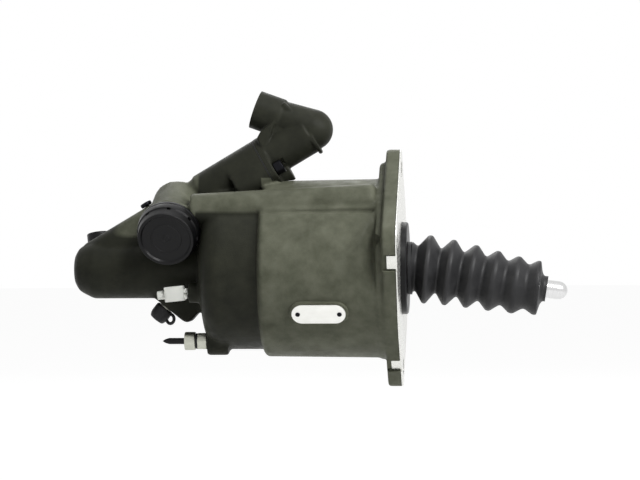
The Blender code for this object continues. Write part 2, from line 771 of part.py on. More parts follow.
def make_cover(shop):
    """The front cover in its seat, its spigot through the plate, and its seal."""
    back = FLANGE_FRONT - COVER_T
    outer = SEAT_R - GAP
    groove = 2.2
    profile = [
        (COVER_HOLE_R, COVER_PROUD),
        (COVER_SPIGOT_R - 0.8, COVER_PROUD),
        (COVER_SPIGOT_R, COVER_PROUD - 0.8),
        (COVER_SPIGOT_R, FLANGE_FRONT),
        (outer, FLANGE_FRONT),
        (outer, FLANGE_FRONT - 1.4),
        (outer - groove, FLANGE_FRONT - 1.4),
        (outer - groove, FLANGE_FRONT - 3.8),
        (outer, FLANGE_FRONT - 3.8),
        (outer, back),
        (COVER_HOLE_R, back),
    ]
    shop.turned("front_cover", profile, MAIN, finish="black_plastic", steps=ROUND_LARGE, ring=True)
    low, high = FLANGE_FRONT - 3.8 + GAP, FLANGE_FRONT - 1.4 - GAP
    inner = outer - groove + GAP
    shop.ring("cover_seal", inner, outer + 0.05, low, high, MAIN, finish="rubber", steps=ROUND_LARGE)


def boot_sag(x):
    """The drop of the bellows' centre line at x: it meets the rod at the lip, and hangs a little before it."""
    t = max(0.0, x - BOOT_BEND_START) / (BOOT_END - BOOT_BEND_START)
    at_lip = (BOOT_END - PIVOT_X) * math.tan(math.radians(ROD_DROOP))
    return -at_lip * t**BOOT_BEND - BOOT_HANG * math.sin(math.pi * min(1.0, t * t))


def make_boot(shop):
    """The bellows: a moulded wall with six folds, bent along its sagging centre line."""
    outer = [(BOOT_BASE_R, BOOT_START), (BOOT_BASE_R, BOOT_START + 2.4), (BOOT_VALLEY_R, BOOT_START + 5.6)]
    for fold in range(BOOT_FOLDS):
        share = fold / (BOOT_FOLDS - 1)
        peak_r = BOOT_FIRST_PEAK_R + (BOOT_LAST_PEAK_R - BOOT_FIRST_PEAK_R) * share
        peak_x = BOOT_FIRST_PEAK_X + BOOT_FOLD_PITCH * fold
        outer += [(peak_r, peak_x - 1.1), (peak_r, peak_x + 1.1)]
        if fold < BOOT_FOLDS - 1:
            outer.append((BOOT_VALLEY_R, peak_x + BOOT_FOLD_PITCH / 2))
    outer += [(BOOT_LIP_R + 2.5, BOOT_END - 4), (BOOT_LIP_R, BOOT_END - 2.5), (BOOT_LIP_R, BOOT_END)]
    lip_bore = ROD_R + 0.5
    inner = [(max(r - BOOT_WALL * 1.3, lip_bore), x) for r, x in outer[2:-2]]
    inner = [(BOOT_VALLEY_R - BOOT_WALL, BOOT_START)] + inner + [(lip_bore, BOOT_END)]
    boot = shop.turned("boot", outer + inner[::-1], MAIN, finish="rubber", steps=ROUND_SMALL, ring=True)
    for vertex in boot.data.vertices:
        x = vertex.co.z / MM
        slope = boot_sag(x + 0.5) - boot_sag(x - 0.5)
        height = vertex.co.y
        vertex.co.y = height + boot_sag(x) * MM
        vertex.co.z = vertex.co.z - slope * height
    boot.data.update()


def make_piston(shop):
    """The power piston with its hub, ball pocket, seal, guide ring and retaining ring."""
    seal_floor = PISTON_R - SEAL_DEPTH
    guide_floor = PISTON_R - GUIDE_DEPTH
    rim_inner = PISTON_R - PISTON_RIM
    pocket_r = BALL_R + GAP + BALL_SEAT_T + GAP
    ring_r = pocket_r + 1.0
    ring_front, ring_back = -10.8, -12.2
    mouth = -10.0
    pocket = arc((0, PIVOT_X), pocket_r, 0, -90, 6)
    profile = (
        pocket[::-1]
        + [(pocket_r, ring_back), (ring_r, ring_back), (ring_r, ring_front), (pocket_r, ring_front)]
        + [(pocket_r, mouth), (HUB_R - 2, mouth), (HUB_R, WEB_FRONT), (rim_inner, WEB_FRONT)]
        + [(rim_inner, PISTON_FRONT), (PISTON_R, PISTON_FRONT), (PISTON_R, GUIDE_FRONT)]
        + [(guide_floor, GUIDE_FRONT), (guide_floor, GUIDE_BACK), (PISTON_R, GUIDE_BACK)]
        + [(PISTON_R, SEAL_FRONT), (seal_floor, SEAL_FRONT), (seal_floor, SEAL_BACK), (PISTON_R, SEAL_BACK)]
        + [(PISTON_R, PISTON_BACK), (rim_inner + 2, PISTON_BACK), (rim_inner + 2, WEB_BACK)]
        + [(HUB_R + 1, WEB_BACK), (HUB_R - 2, HUB_BACK), (SPIGOT_R + GAP, HUB_BACK)]
        + [(SPIGOT_R + GAP, HUB_BACK + SPIGOT_LENGTH), (0, HUB_BACK + SPIGOT_LENGTH)]
    )
    piston = shop.turned("power_piston", profile, MAIN, finish="anodised", steps=ROUND_INNER)
    edge = BORE_R - GAP
    lip = [
        (seal_floor + GAP, SEAL_FRONT - GAP),
        (edge - 1.4, SEAL_FRONT - GAP),
        (edge, SEAL_FRONT - 2.2),
        (edge - 1.2, SEAL_BACK + GAP),
        (edge - 2.4, SEAL_BACK + 2.0),
        (seal_floor + GAP + 1.2, SEAL_BACK + 2.0),
        (seal_floor + GAP, SEAL_BACK + GAP),
    ]
    seal = shop.turned("piston_seal", lip, MAIN, finish="rubber", steps=ROUND_INNER, ring=True)
    guide = shop.ring(
        "piston_guide_ring",
        guide_floor + GAP,
        edge,
        GUIDE_BACK + GAP,
        GUIDE_FRONT - GAP,
        MAIN,
        finish="nylon",
        steps=ROUND_INNER,
    )
    clip = shop.ring(
        "seat_retaining_ring",
        pocket_r - 2.4,
        ring_r - GAP,
        ring_back + GAP / 2,
        ring_front - GAP / 2,
        MAIN,
        finish="steel",
    )
    return [piston, seal, guide, clip]


def make_plunger(shop):
    """The hydraulic plunger, seated in the piston's hub, with its cup seal and end washer."""
    groove_high, groove_low = PLUNGER_END + CUP_FRONT, PLUNGER_END + CUP_BACK
    groove_r = PLUNGER_R - CUP_DEPTH
    spigot_top = HUB_BACK + SPIGOT_LENGTH - GAP
    profile = [
        (0, spigot_top),
        (SPIGOT_R, spigot_top),
        (SPIGOT_R, HUB_BACK - GAP),
        (PLUNGER_R, HUB_BACK - GAP),
        (PLUNGER_R, groove_high),
        (groove_r, groove_high),
        (groove_r, groove_low),
        (PLUNGER_R - 1, groove_low),
        (PLUNGER_R - 1, PLUNGER_END),
        (0, PLUNGER_END),
    ]
    plunger = shop.turned("hydraulic_plunger", profile, MAIN, finish="steel")
    cup = [
        (groove_r + GAP, groove_high - GAP),
        (PLUNGER_R - 0.2, groove_high - GAP),
        (HYD_BORE_R - 0.1, groove_low + 0.9),
        (PLUNGER_R - 1.6, groove_low + 0.9),
        (groove_r + 1.4, groove_high - 2.6),
        (groove_r + GAP, groove_low + GAP),
    ]
    seal = shop.turned("plunger_cup_seal", cup, MAIN, finish="rubber", ring=True)
    return [plunger, seal]


def make_bush(shop):
    """Between the two cylinders: a guide bush and the rod seal behind it, round the plunger."""
    middle = (BORE_END + BUSH_SEAT_END) / 2
    inner, outer = PLUNGER_R + GAP, BUSH_SEAT_R - GAP
    shop.ring("guide_bush", inner, outer, middle, BORE_END - GAP, MAIN, finish="brass")
    shop.ring("rod_seal", inner, outer, BUSH_SEAT_END + GAP, middle - GAP, MAIN, finish="rubber")


def make_spring(shop):
    """The conical pretension spring, from the rear wall to the piston's web."""
    low = BORE_END + SPRING_WIRE_R + GAP
    high = WEB_BACK - SPRING_WIRE_R - GAP
    steps_per_turn = 11
    count = round(SPRING_TURNS * steps_per_turn)
    points = []
    for i in range(count + 1):
        share = i / count
        radius = SPRING_REAR_R + (SPRING_FRONT_R - SPRING_REAR_R) * share
        x, y = polar(radius, 360 * SPRING_TURNS * share)
        points.append((x, y, low + (high - low) * share))
    shop.wire("pretension_spring", points, SPRING_WIRE_R, MAIN, "steel")


def make_ball_seat(shop):
    """A split nylon shell between the ball and its pocket."""
    inner, outer = BALL_R + GAP, BALL_R + GAP + BALL_SEAT_T
    start = 90 - SEAT_MOUTH_ANGLE
    inside = arc((0, 0), inner, -90, start, 8)
    outside = arc((0, 0), outer, start, -90, 10)
    place = frame_at((PIVOT_X, 0, 0), (1, 0, 0))
    return shop.turned("ball_seat", inside + outside, place, finish="nylon")


def make_push_rod(shop):
    neck_start = math.sqrt(BALL_R**2 - ROD_NECK_R**2)
    ball = arc((0, 0), BALL_R, -90, math.degrees(math.atan2(neck_start, ROD_NECK_R)), 9)
    tip = arc((0, ROD_REACH - ROD_R), ROD_R, 0, 90, 5)
    profile = ball + [(ROD_NECK_R, 13.0), (ROD_R, 15.5)] + tip
    return shop.turned("push_rod", profile, ROD, finish="chrome")


def make_valve(shop):
    """The control valve: a hydraulic plunger that pushes a sprung poppet off its seat."""
    groove_r = CONTROL_BORE_R - CONTROL_GROOVE
    plunger_r = CONTROL_BORE_R - GAP
    groove_high, groove_low = CHAMBER_END - GROOVE_FRONT, CHAMBER_END - GROOVE_BACK
    seat_low = CHAMBER_END + GAP
    seat_high = seat_low + VALVE_SEAT_T
    poppet_low = seat_high + GAP
    poppet_high = poppet_low + POPPET_T
    guide_low = JOINT_AT - VALVE_GUIDE_T
    profile = [
        (0, seat_high - POPPET_OVERLAP),
        (CONTROL_NOSE_R, seat_high - POPPET_OVERLAP),
        (CONTROL_NOSE_R, CHAMBER_END - CONTROL_SHOULDER / 2),
        (plunger_r, CHAMBER_END - CONTROL_SHOULDER),
        (plunger_r, groove_high),
        (groove_r, groove_high),
        (groove_r, groove_low),
        (plunger_r, groove_low),
        (plunger_r, CONTROL_BORE_END + 1.5 * CONTROL_SHOULDER),
        (CONTROL_NOSE_R, CONTROL_BORE_END + CONTROL_SHOULDER),
        (CONTROL_NOSE_R, CONTROL_BORE_END + GAP),
        (0, CONTROL_BORE_END + GAP),
    ]
    plunger = shop.turned("control_plunger", profile, VALVE, finish="steel")
    seal = shop.ring(
        "control_plunger_seal",
        groove_r + GAP,
        CONTROL_BORE_R - 0.1,
        groove_low + GAP,
        groove_high - GAP,
        VALVE,
        finish="rubber",
    )
    shop.ring("valve_seat", SEAT_BORE_R, CHAMBER_R - GAP, seat_low, seat_high, VALVE, finish="brass")
    stem = [
        (0, guide_low - GAP),
        (POPPET_STEM_R, guide_low - GAP),
        (POPPET_STEM_R, poppet_high),
        (POPPET_R, poppet_high),
        (POPPET_R, poppet_low),
        (0, poppet_low),
    ]
    poppet = shop.turned("valve_poppet", stem, VALVE, finish="rubber")
    low, high = poppet_high + VALVE_WIRE_R + GAP, guide_low - VALVE_WIRE_R - GAP
    count = VALVE_TURNS * 10
    points = [(*polar(VALVE_COIL_R, 36 * i), low + (high - low) * i / count) for i in range(count + 1)]
    shop.wire("valve_spring", points, VALVE_WIRE_R, VALVE, "steel")
    edge, bore = CHAMBER_R - GAP, POPPET_STEM_R + 1.0
    guide = [
        (bore, guide_low),
        (edge, guide_low),
        (edge, JOINT_AT - GAP),
        (edge - VALVE_GUIDE_WALL, JOINT_AT - GAP),
        (edge - VALVE_GUIDE_WALL, guide_low + VALVE_GUIDE_FLOOR),
        (bore, guide_low + VALVE_GUIDE_FLOOR),
    ]
    shop.turned("valve_guide", guide, VALVE, finish="anodised", ring=True)
    return plunger, seal, poppet


def elbow_web_outline(flange_top):
    """In X and Z: what fills the bend between the mouth's collar, the barrel and the flange."""
    shoulder = MOUTH_LENGTH - COLLAR_LENGTH
    corners = [
        TURN_POINT,
        PASSAGE @ Vector((0, PASSAGE_R - 1, shoulder)),
        PASSAGE @ Vector((0, -COLLAR_R + 1, shoulder + WEB_OVERHANG)),
        VALVE @ Vector((0, BARREL_R - 1, flange_top)),
        VALVE @ Vector((0, 0, flange_top)),
    ]
    return [(corner.x, corner.z) for corner in corners]


def make_elbow(shop):
    """The cast inlet elbow: a flange and ear on the joint, a barrel, a round nose and a collared mouth."""
    low = JOINT_AT + GASKET_T
    high = low + ELBOW_FLANGE_T
    elbow = shop.flat("elbow", [joint_outline()], low, high, VALVE, finish="cast")
    additions = shop.helper_group("elbow additions")
    cuts = shop.helper_group("elbow cuts")
    shop.rod("elbow_barrel", ELBOW_R, low + 1, ELBOW_TURN - 4, VALVE, additions, steps=ROUND_LARGE)
    ear = VALVE @ Matrix.Translation((0, -EAR_DROP, 0))
    shop.rod("elbow_ear", EAR_R - 0.6, low + 1, low + EAR_LENGTH, ear, additions)
    lip = VALVE @ Matrix.Translation((0, -LIP_DROP, 0))
    shop.rod("elbow_lip", LIP_R, LIP_AT, LIP_AT + LIP_LENGTH, lip, additions, steps=ROUND_LARGE)
    shop.ball("elbow_nose", ELBOW_NOSE_R, PASSAGE, additions, steps=ROUND_INNER)
    shoulder = MOUTH_LENGTH - COLLAR_LENGTH
    outside = [
        (0, MOUTH_LENGTH),
        (COLLAR_R - 0.6, MOUTH_LENGTH),
        (COLLAR_R, MOUTH_LENGTH - 0.6),
        (COLLAR_R, shoulder),
        (PASSAGE_R, shoulder - COLLAR_CHAMFER),
        (PASSAGE_ROOT_R, 0),
        (0, 0),
    ]
    shop.turned("elbow_passage", outside, PASSAGE, additions, steps=ROUND_LARGE)
    web = [elbow_web_outline(high)]
    shop.flat("elbow_web", web, -PASSAGE_R + 1, PASSAGE_R - 1, SIDE, additions)
    shop.rod("joint_way", ELBOW_BORE_R, low - OVERRUN, ELBOW_TURN, VALVE, cuts)
    shop.ball("turn_way", ELBOW_BORE_R, PASSAGE, cuts)
    inside = [
        (0, MOUTH_LENGTH + OVERRUN),
        (MOUTH_BORE_R, MOUTH_LENGTH + OVERRUN),
        (MOUTH_BORE_R, MOUTH_LENGTH - MOUTH_BORE_DEPTH),
        (ELBOW_BORE_R, MOUTH_LENGTH - MOUTH_BORE_DEPTH - 1),
        (ELBOW_BORE_R, 0),
        (0, 0),
    ]
    shop.turned("mouth_way", inside, PASSAGE, cuts)
    for number, (x, y) in enumerate(screw_centres()):
        hole = VALVE @ Matrix.Translation((x, y, 0))
        shop.rod(f"elbow_hole_{number}", SCREW_R + GAP, low - 2, high + 2, hole, cuts, steps=ROUND_TINY)
        shop.rod(f"head_recess_{number}", SCREW_HEAD_R + 0.6, high, high + 9, hole, cuts)
    combine(shop, elbow, additions, "UNION")
    combine(shop, elbow, cuts, "DIFFERENCE")
    holes = [circle(centre, SCREW_R + GAP, ROUND_TINY) for centre in screw_centres()]
    loops = [joint_outline(), circle((0, 0), ELBOW_BORE_R)] + holes
    gasket = shop.flat("elbow_gasket", loops, JOINT_AT + 0.15, low - 0.15, VALVE, finish="rubber")
    sleeve = shop.helper_group("sleeve clearance")
    clear_r = SLEEVE_R + SLEEVE_DRAFT / 2 + GAP
    shop.rod("sleeve_clearance", clear_r, SLEEVE_START - 5, -50, MAIN, sleeve, steps=ROUND_LARGE)
    for piece in (elbow, gasket):
        combine(shop, piece, sleeve, "DIFFERENCE")


def make_elbow_screws(shop):
    under_head = JOINT_AT + GASKET_T + ELBOW_FLANGE_T + GAP / 2
    top = under_head + SCREW_HEAD_H
    profile = [
        (0, top - HEX_SOCKET_DEPTH),
        (HEX_SOCKET_R, top - HEX_SOCKET_DEPTH),
        (HEX_SOCKET_R, top),
        (SCREW_HEAD_R - 0.5, top),
        (SCREW_HEAD_R, top - 0.5),
        (SCREW_HEAD_R, under_head),
        (SCREW_R, under_head),
        (SCREW_R, JOINT_AT - SCREW_DEPTH),
        (0, JOINT_AT - SCREW_DEPTH),
    ]
    for number, (x, y) in enumerate(screw_centres(), start=1):
        place = VALVE @ Matrix.Translation((x, y, 0))
        shop.turned(f"elbow_screw_{number}", profile, place, finish="black_steel")


def make_exhaust(shop):
    """The silencer cap with slots round its skirt, a rubber flap on its seat and a felt pad."""
    top = GAP + CAP_HEIGHT
    spigot_r = EXHAUST_BORE_R - GAP
    roof = top - CAP_RECESS
    profile = [
        (0, roof),
        (CAP_FRONT_R - 2.2, roof),
        (CAP_FRONT_R - 1.4, top),
        (CAP_FRONT_R - 0.6, top),
        (CAP_FRONT_R, top - 0.8),
        (CAP_FRONT_R + 0.9, GAP + 9.4),
        (CAP_BACK_R - 0.4, GAP + 8.8),
        (CAP_BACK_R, GAP + 3.4),
        (CAP_BACK_R, GAP),
        (spigot_r, GAP),
        (spigot_r, -CAP_SPIGOT_DEPTH),
        (spigot_r - 2, -CAP_SPIGOT_DEPTH),
        (spigot_r - 2, GAP + 2.4),
        (CAP_FRONT_R - CAP_WALL, GAP + 2.4),
        (CAP_FRONT_R - CAP_WALL, roof - CAP_WALL),
        (0, roof - CAP_WALL),
    ]
    cap = shop.turned("exhaust_cap", profile, EXHAUST, finish="black_plastic", steps=ROUND_INNER)
    slots = shop.helper_group("cap slots")
    for number in range(SLOT_COUNT):
        angle = SLOT_START + 360 * number / SLOT_COUNT
        turn = Matrix.Rotation(math.radians(angle), 4, "Z")
        slot = EXHAUST @ turn @ Matrix.Translation((CAP_BACK_R, 0, GAP + 6.4))
        shop.box(f"cap_slot_{number}", (14.0, SLOT_WIDTH, SLOT_HEIGHT), slot, slots)
    combine(shop, cap, slots, "DIFFERENCE")
    pad_r = spigot_r - 2 - GAP
    shop.rod("silencer_pad", pad_r, -CAP_SPIGOT_DEPTH + 1, GAP + 2, EXHAUST, finish="felt")
    flap = frame_at(EXHAUST @ Vector((0, 0, -EXHAUST_BORE_DEPTH)), EXHAUST_DIRECTION)
    shop.rod("exhaust_flap", EXHAUST_BORE_R - GAP, GAP, 1.8 + GAP, flap, finish="rubber")


def rivet_places():
    return (-RIVET_SPACING / 2, RIVET_SPACING / 2)


def make_name_plate(shop):
    """A bare plate on its pad, held by two rivets."""
    low = PAD_RISE + THIN_GAP
    high = low + LABEL_T
    holes = [circle((x, 0), RIVET_SHANK_R + 0.2, ROUND_TINY) for x in rivet_places()]
    loops = [stadium(LABEL_LENGTH, LABEL_WIDTH)] + holes
    shop.flat("name_plate", loops, low, high, pad_frame(), finish="label")
    under_head = high + THIN_GAP
    profile = [
        (0, under_head + RIVET_HEAD_H),
        (RIVET_HEAD_R * 0.6, under_head + RIVET_HEAD_H * 0.8),
        (RIVET_HEAD_R, under_head),
        (RIVET_SHANK_R, under_head),
        (RIVET_SHANK_R, PAD_RISE - RIVET_DEPTH),
        (0, PAD_RISE - RIVET_DEPTH),
    ]
    for number, x in enumerate(rivet_places(), start=1):
        place = pad_frame() @ Matrix.Translation((x, 0, 0))
        shop.turned(f"name_plate_rivet_{number}", profile, place, finish="black_steel", steps=ROUND_TINY)


def make_port_plug(shop):
    """The white nylon plug: a square body, a grip stem and a spigot in the port."""
    tilt = Matrix.Rotation(math.radians(PLUG_TILT), 4, "X")
    place = PORT @ Matrix.Translation((0, 0, PORT_BOSS_END - GAP)) @ tilt
    length = PLUG_BODY[2]
    middle = place @ Matrix.Translation((0, 0, -length / 2 - 2 * GAP))
    plug = shop.box("port_plug", PLUG_BODY, middle, finish="nylon")
    additions = shop.helper_group("plug additions")
    stem_end = -length - PLUG_STEM_LENGTH
    shop.rod("plug_stem", PLUG_STEM_R, stem_end, -length + 1, place, additions, steps=ROUND_TINY)
    spigot_r = PORT_HOLE_R - 3 * GAP
    shop.rod("plug_spigot", spigot_r, -2, PLUG_SPIGOT_LENGTH, place, additions, steps=ROUND_TINY)
    combine(shop, plug, additions, "UNION")


def make_bleed(shop):
    """The bleed screw in the lug, under a rubber cap with its loop strap."""
    shank_r = BLEED_HOLE_R - GAP
    screw = [
        (0, BLEED_TOP),
        (BLEED_TIP_R - 1.2, BLEED_TOP),
        (BLEED_TIP_R, BLEED_TOP - 0.9),
        (BLEED_TIP_R, BLEED_TOP - 2.6),
        (BLEED_NECK_R, BLEED_TOP - 3.4),
        (BLEED_NECK_R, BLEED_HEX_TOP),
        (BLEED_HEX_R, BLEED_HEX_TOP),
        (BLEED_HEX_R, 2 * GAP),
        (shank_r, 2 * GAP),
        (shank_r, -10),
        (0, -12),
    ]
    shop.turned("bleed_screw", screw, BLEED, finish="zinc", steps=ROUND_TINY)
    profile = [
        (0, BLEED_CAP_TOP),
        (BLEED_CAP_R - 2.4, BLEED_CAP_TOP),
        (BLEED_CAP_R - 0.5, BLEED_CAP_TOP - 1.6),
        (BLEED_CAP_R, BLEED_CAP_TOP - 4.0),
        (BLEED_CAP_R, BLEED_CAP_LOW),
        (0, BLEED_CAP_LOW),
    ]
    cap = shop.turned("bleed_cap", profile, BLEED, finish="rubber")
    additions = shop.helper_group("bleed cap loop")
    hollow = shop.helper_group("bleed cap hollow")
    strap = circle((LOOP_R, 0), LOOP_STRAP_R, 8)
    shop.turned("cap_loop", strap, frame_at(BLEED @ Vector(LOOP_AT), LOOP_DIRECTION), additions, ring=True)
    inside = [
        (0, BLEED_TOP + GAP),
        (BLEED_TIP_R + GAP, BLEED_TOP + GAP),
        (BLEED_TIP_R + GAP, BLEED_HEX_TOP + GAP),
        (BLEED_HEX_R + GAP, BLEED_HEX_TOP + GAP),
        (BLEED_HEX_R + GAP, BLEED_CAP_LOW - 2),
        (0, BLEED_CAP_LOW - 2),
    ]
    shop.turned("cap_inside", inside, BLEED, hollow)
    combine(shop, cap, additions, "UNION")
    combine(shop, cap, hollow, "DIFFERENCE")


def make_small_plugs(shop):
    """The black plug of the rear port, and the plug of the cross drilling on the valve channel."""
    plug = [
        (0, REAR_HEAD_H),
        (REAR_HEAD_R - 0.6, REAR_HEAD_H),
        (REAR_HEAD_R, REAR_HEAD_H - 0.8),
        (REAR_HEAD_R, GAP),
        (REAR_HOLE_R - GAP, GAP),
        (REAR_HOLE_R - GAP, -REAR_PLUG_DEPTH),
        (0, -REAR_PLUG_DEPTH),
    ]
    shop.turned("rear_port_plug", plug, REAR_PORT, finish="black_plastic")
    knob = [
        (0, KNOB_H),
        (KNOB_R - 0.8, KNOB_H - 0.1),
        (KNOB_R, KNOB_H - 1.0),
        (KNOB_R, GAP),
        (KNOB_HOLE_R - GAP, GAP),
        (KNOB_HOLE_R - GAP, -KNOB_DEPTH),
        (0, -KNOB_DEPTH),
    ]
    shop.turned("drilling_plug", knob, KNOB, finish="black_steel", steps=ROUND_TINY)


def make_fitting(shop):
    """The small air fitting: a hexagon body in the boss, an o-ring, a knurled sleeve and a pointed plug."""
    hex_front = FITTING_BOSS_END - GAP
    hex_back = hex_front - HEX_LENGTH
    sleeve_front = hex_back - RING_GAP
    sleeve_back = sleeve_front - RING_LENGTH
    body = shop.rod("fitting_body", HEX_R, hex_back, hex_front, FITTING, finish="zinc", steps=6)
    additions = shop.helper_group("fitting additions")
    shop.rod("fitting_stem", FITTING_HOLE_R - GAP, hex_front - 1, FITTING_STEM_END, FITTING, additions)
    shop.rod("fitting_tail", TAIL_R, sleeve_back + 2, hex_back + 1, FITTING, additions)
    combine(shop, body, additions, "UNION")
    low, high = sleeve_front + GAP, hex_back - GAP
    shop.ring("fitting_o_ring", RING_BORE_R, RING_R - 1, low, high, FITTING, finish="rubber")
    sleeve = [
        (RING_BORE_R, sleeve_front),
        (RING_R - 0.45, sleeve_front),
        (RING_R, sleeve_front - 0.6),
        (RING_R, sleeve_back + 0.6),
        (RING_R - 0.45, sleeve_back),
        (RING_NECK_R, sleeve_back),
        (RING_NECK_R, sleeve_back + 1.6),
        (RING_BORE_R, sleeve_back + 1.6),
    ]
    shop.turned("fitting_sleeve", sleeve, FITTING, finish="zinc", ring=True)
    needle = [
        (0, sleeve_back + 1.6),
        (NEEDLE_R, sleeve_back + 1.6),
        (NEEDLE_R, sleeve_back - NEEDLE_LENGTH),
        (NEEDLE_R * 0.6, sleeve_back - NEEDLE_LENGTH - NEEDLE_POINT * 0.6),
        (0, sleeve_back - NEEDLE_LENGTH - NEEDLE_POINT),
    ]
    shop.turned("fitting_plug", needle, FITTING, finish="black_plastic", steps=ROUND_TINY)


def main():
    clear_scene()
    shop = Workshop()
    make_housing(shop)
    make_front_plate(shop)
    make_cover(shop)
    make_bush(shop)
    make_spring(shop)
    make_boot(shop)
    piston = make_piston(shop) + make_plunger(shop)
    seat = make_ball_seat(shop)
    rod = make_push_rod(shop)
    control, control_seal, poppet = make_valve(shop)
    make_elbow(shop)
    make_elbow_screws(shop)
    make_exhaust(shop)
    make_name_plate(shop)
    make_port_plug(shop)
    make_bleed(shop)
    make_small_plugs(shop)
    make_fitting(shop)
    hang_on(joint_empty(shop, "piston_travel", MAIN), piston)
    hang_on(joint_empty(shop, "ball_centre", frame_at((PIVOT_X, 0, 0), (0, 0, 1), up=(1, 0, 0))), [seat])
    hang_on(joint_empty(shop, "rod_pivot", ROD), [rod])
    hang_on(joint_empty(shop, "valve_travel", VALVE), [control, control_seal, poppet])
    add_booleans(shop)


main()
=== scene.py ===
"""The finished look of a hydro-pneumatic clutch servo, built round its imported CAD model.

Sizes are in millimetres and become metres as each mesh is finished. +X is the way the push rod moves out,
and the origin is the centre of the front plate's outer face.
"""

import json
import math

import bmesh
import bpy
from bpy.props import FloatProperty, FloatVectorProperty, IntProperty, PointerProperty, StringProperty
from mathutils import Matrix, Vector
from mathutils.geometry import convex_hull_2d


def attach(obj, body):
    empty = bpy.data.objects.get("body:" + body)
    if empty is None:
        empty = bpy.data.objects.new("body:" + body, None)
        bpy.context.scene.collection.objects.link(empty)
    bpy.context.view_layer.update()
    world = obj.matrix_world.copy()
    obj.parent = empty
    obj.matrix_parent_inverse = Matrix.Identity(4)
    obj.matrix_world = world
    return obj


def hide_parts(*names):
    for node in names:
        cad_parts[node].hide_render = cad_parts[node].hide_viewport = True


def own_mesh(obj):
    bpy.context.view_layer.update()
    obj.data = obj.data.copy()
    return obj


bl_info = {
    "name": "Clutch Servo",
    "version": (1, 0, 0),
    "blender": (4, 5, 0),
    "location": "3D View > Sidebar > Clutch Servo",
    "description": "Dresses the clutch servo's frame with castings, rubber, plated steel and plastic",
    "category": "Object",
}

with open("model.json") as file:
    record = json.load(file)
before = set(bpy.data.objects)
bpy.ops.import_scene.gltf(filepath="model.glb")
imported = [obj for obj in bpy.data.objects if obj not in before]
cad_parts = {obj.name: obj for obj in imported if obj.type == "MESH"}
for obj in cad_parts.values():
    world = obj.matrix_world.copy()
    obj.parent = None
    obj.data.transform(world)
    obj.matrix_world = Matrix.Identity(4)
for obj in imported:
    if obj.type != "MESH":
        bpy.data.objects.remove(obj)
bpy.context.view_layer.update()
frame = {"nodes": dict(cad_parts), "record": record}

MM = 0.001
ROUND = 96
ROUND_FINE = 48

# Air cylinder and its flange
BORE_R = 51.0
SLEEVE_R = 64.0
SLEEVE_DRAFT = 1.2
SLEEVE_START = -100.0
REAR_R = 58.7
REAR_CORNER = 15.0
DOME_END = -148.5
DOME_RISE = 5.0
BORE_END = -137.5
BORE_CORNER = 15.0
PLATE_T = 1.0
GAP = 0.3
FLANGE_T = 9.6
FLANGE_CENTRE_R = 67.0
CORNER_CIRCLE_R = 72.0
CORNER_R = 14.4
CORNER_ANGLES = (94.0, 164.0, 274.0, 344.0)
BOLT_HOLE_R = 5.5
ROOT_T = 5.0
ROOT_ANGLES = (94.0, 164.0, 344.0)
ROOT_INSET = 6.0
ROOT_CORNER_R = 11.0
SEAT_R = 54.2
SEAT_DEPTH = 5.7
SCALLOP_DEPTH = 9.0
SCALLOP_LENGTH = 14.5
SCALLOP_ANGLES = (169.5, 349.5)
FLANGE_FRONT = -PLATE_T - GAP
FLANGE_BACK = FLANGE_FRONT - FLANGE_T
SEAT_FLOOR = FLANGE_FRONT - SEAT_DEPTH

# Folded tabs of the front plate, in notches of the flange rim
TAB_ANGLES = (177.0, 254.8, 357.0, 74.8)
TAB_WIDTH = 10.6
TAB_LENGTH = 7.5
NOTCH_WIDTH = 13.2
NOTCH_DEPTH = 2.6

# Hydraulic cylinder, which is the nose at the rear
NOSE_R = 21.3
NOSE_END = -240.3
NOSE_FACE_R = 10.2
NOSE_CHAMFER_LENGTH = 13.8
HYD_BORE_R = 14.3
HYD_BORE_END = -226.0
BUSH_SEAT_R = 18.3
BUSH_SEAT_END = -147.0

# Control valve barrel, on an inclined axis in the plane Y = 0
VALVE_TILT = 30.5
VALVE_RISE = 18.9
VALVE_ORIGIN = (-96.6, 0.0, SLEEVE_R + VALVE_RISE)
BARREL_R = 15.7
BARREL_START = -57.4
CHANNEL_R = 14.2
CHANNEL_START = -150.0
JOINT_AT = -6.5
JOINT_BOSS_LENGTH = 26.0
JOINT_BOSS_REACH = 24.0
SCREW_SIDE = 16.4
SCREW_DROP = 12.3
SCREW_LAND_R = 7.2
SCREW_FACE = (60.0, 46.5)
EAR_DROP = 16.0
EAR_R = 9.2
CHAMBER_R = 11.5
CHAMBER_END = -40.0
CONTROL_BORE_R = 8.0
CONTROL_BORE_END = -73.0

# The web under the channel and the boss, as (x, z), and its thickness
WEB_OUTLINE = [(-196, 8), (-150, 8), (-126, 40), (-126, 62), (-150, 48)]
WEB_T = 12.0

# Elbow for the air inlet
GASKET_T = 1.0
ELBOW_FLANGE_T = 4.5
ELBOW_R = 15.9
ELBOW_TURN = 36.4
ELBOW_NOSE_R = 15.0
MOUTH_TILT = 20.0
MOUTH_LENGTH = 44.3
COLLAR_R = 14.1
COLLAR_LENGTH = 18.9
COLLAR_CHAMFER = 1.5
PASSAGE_R = 13.1
PASSAGE_ROOT_R = 15.0
ELBOW_BORE_R = 9.5
MOUTH_BORE_R = 10.6
MOUTH_BORE_DEPTH = 14.0
LIP_R = 14.9
LIP_DROP = 3.4
LIP_AT = 32.0
LIP_LENGTH = 2.6
WEB_OVERHANG = 8.6
WEB_HALF_T = 11.6
SKIRT_HALF_T = 14.6
EAR_LENGTH = 13.0
SCREW_R = 3.0
SCREW_HEAD_R = 5.2
SCREW_HEAD_H = 6.6
SCREW_DEPTH = 13.0
HEX_SOCKET_R = 2.9
HEX_SOCKET_DEPTH = 3.5

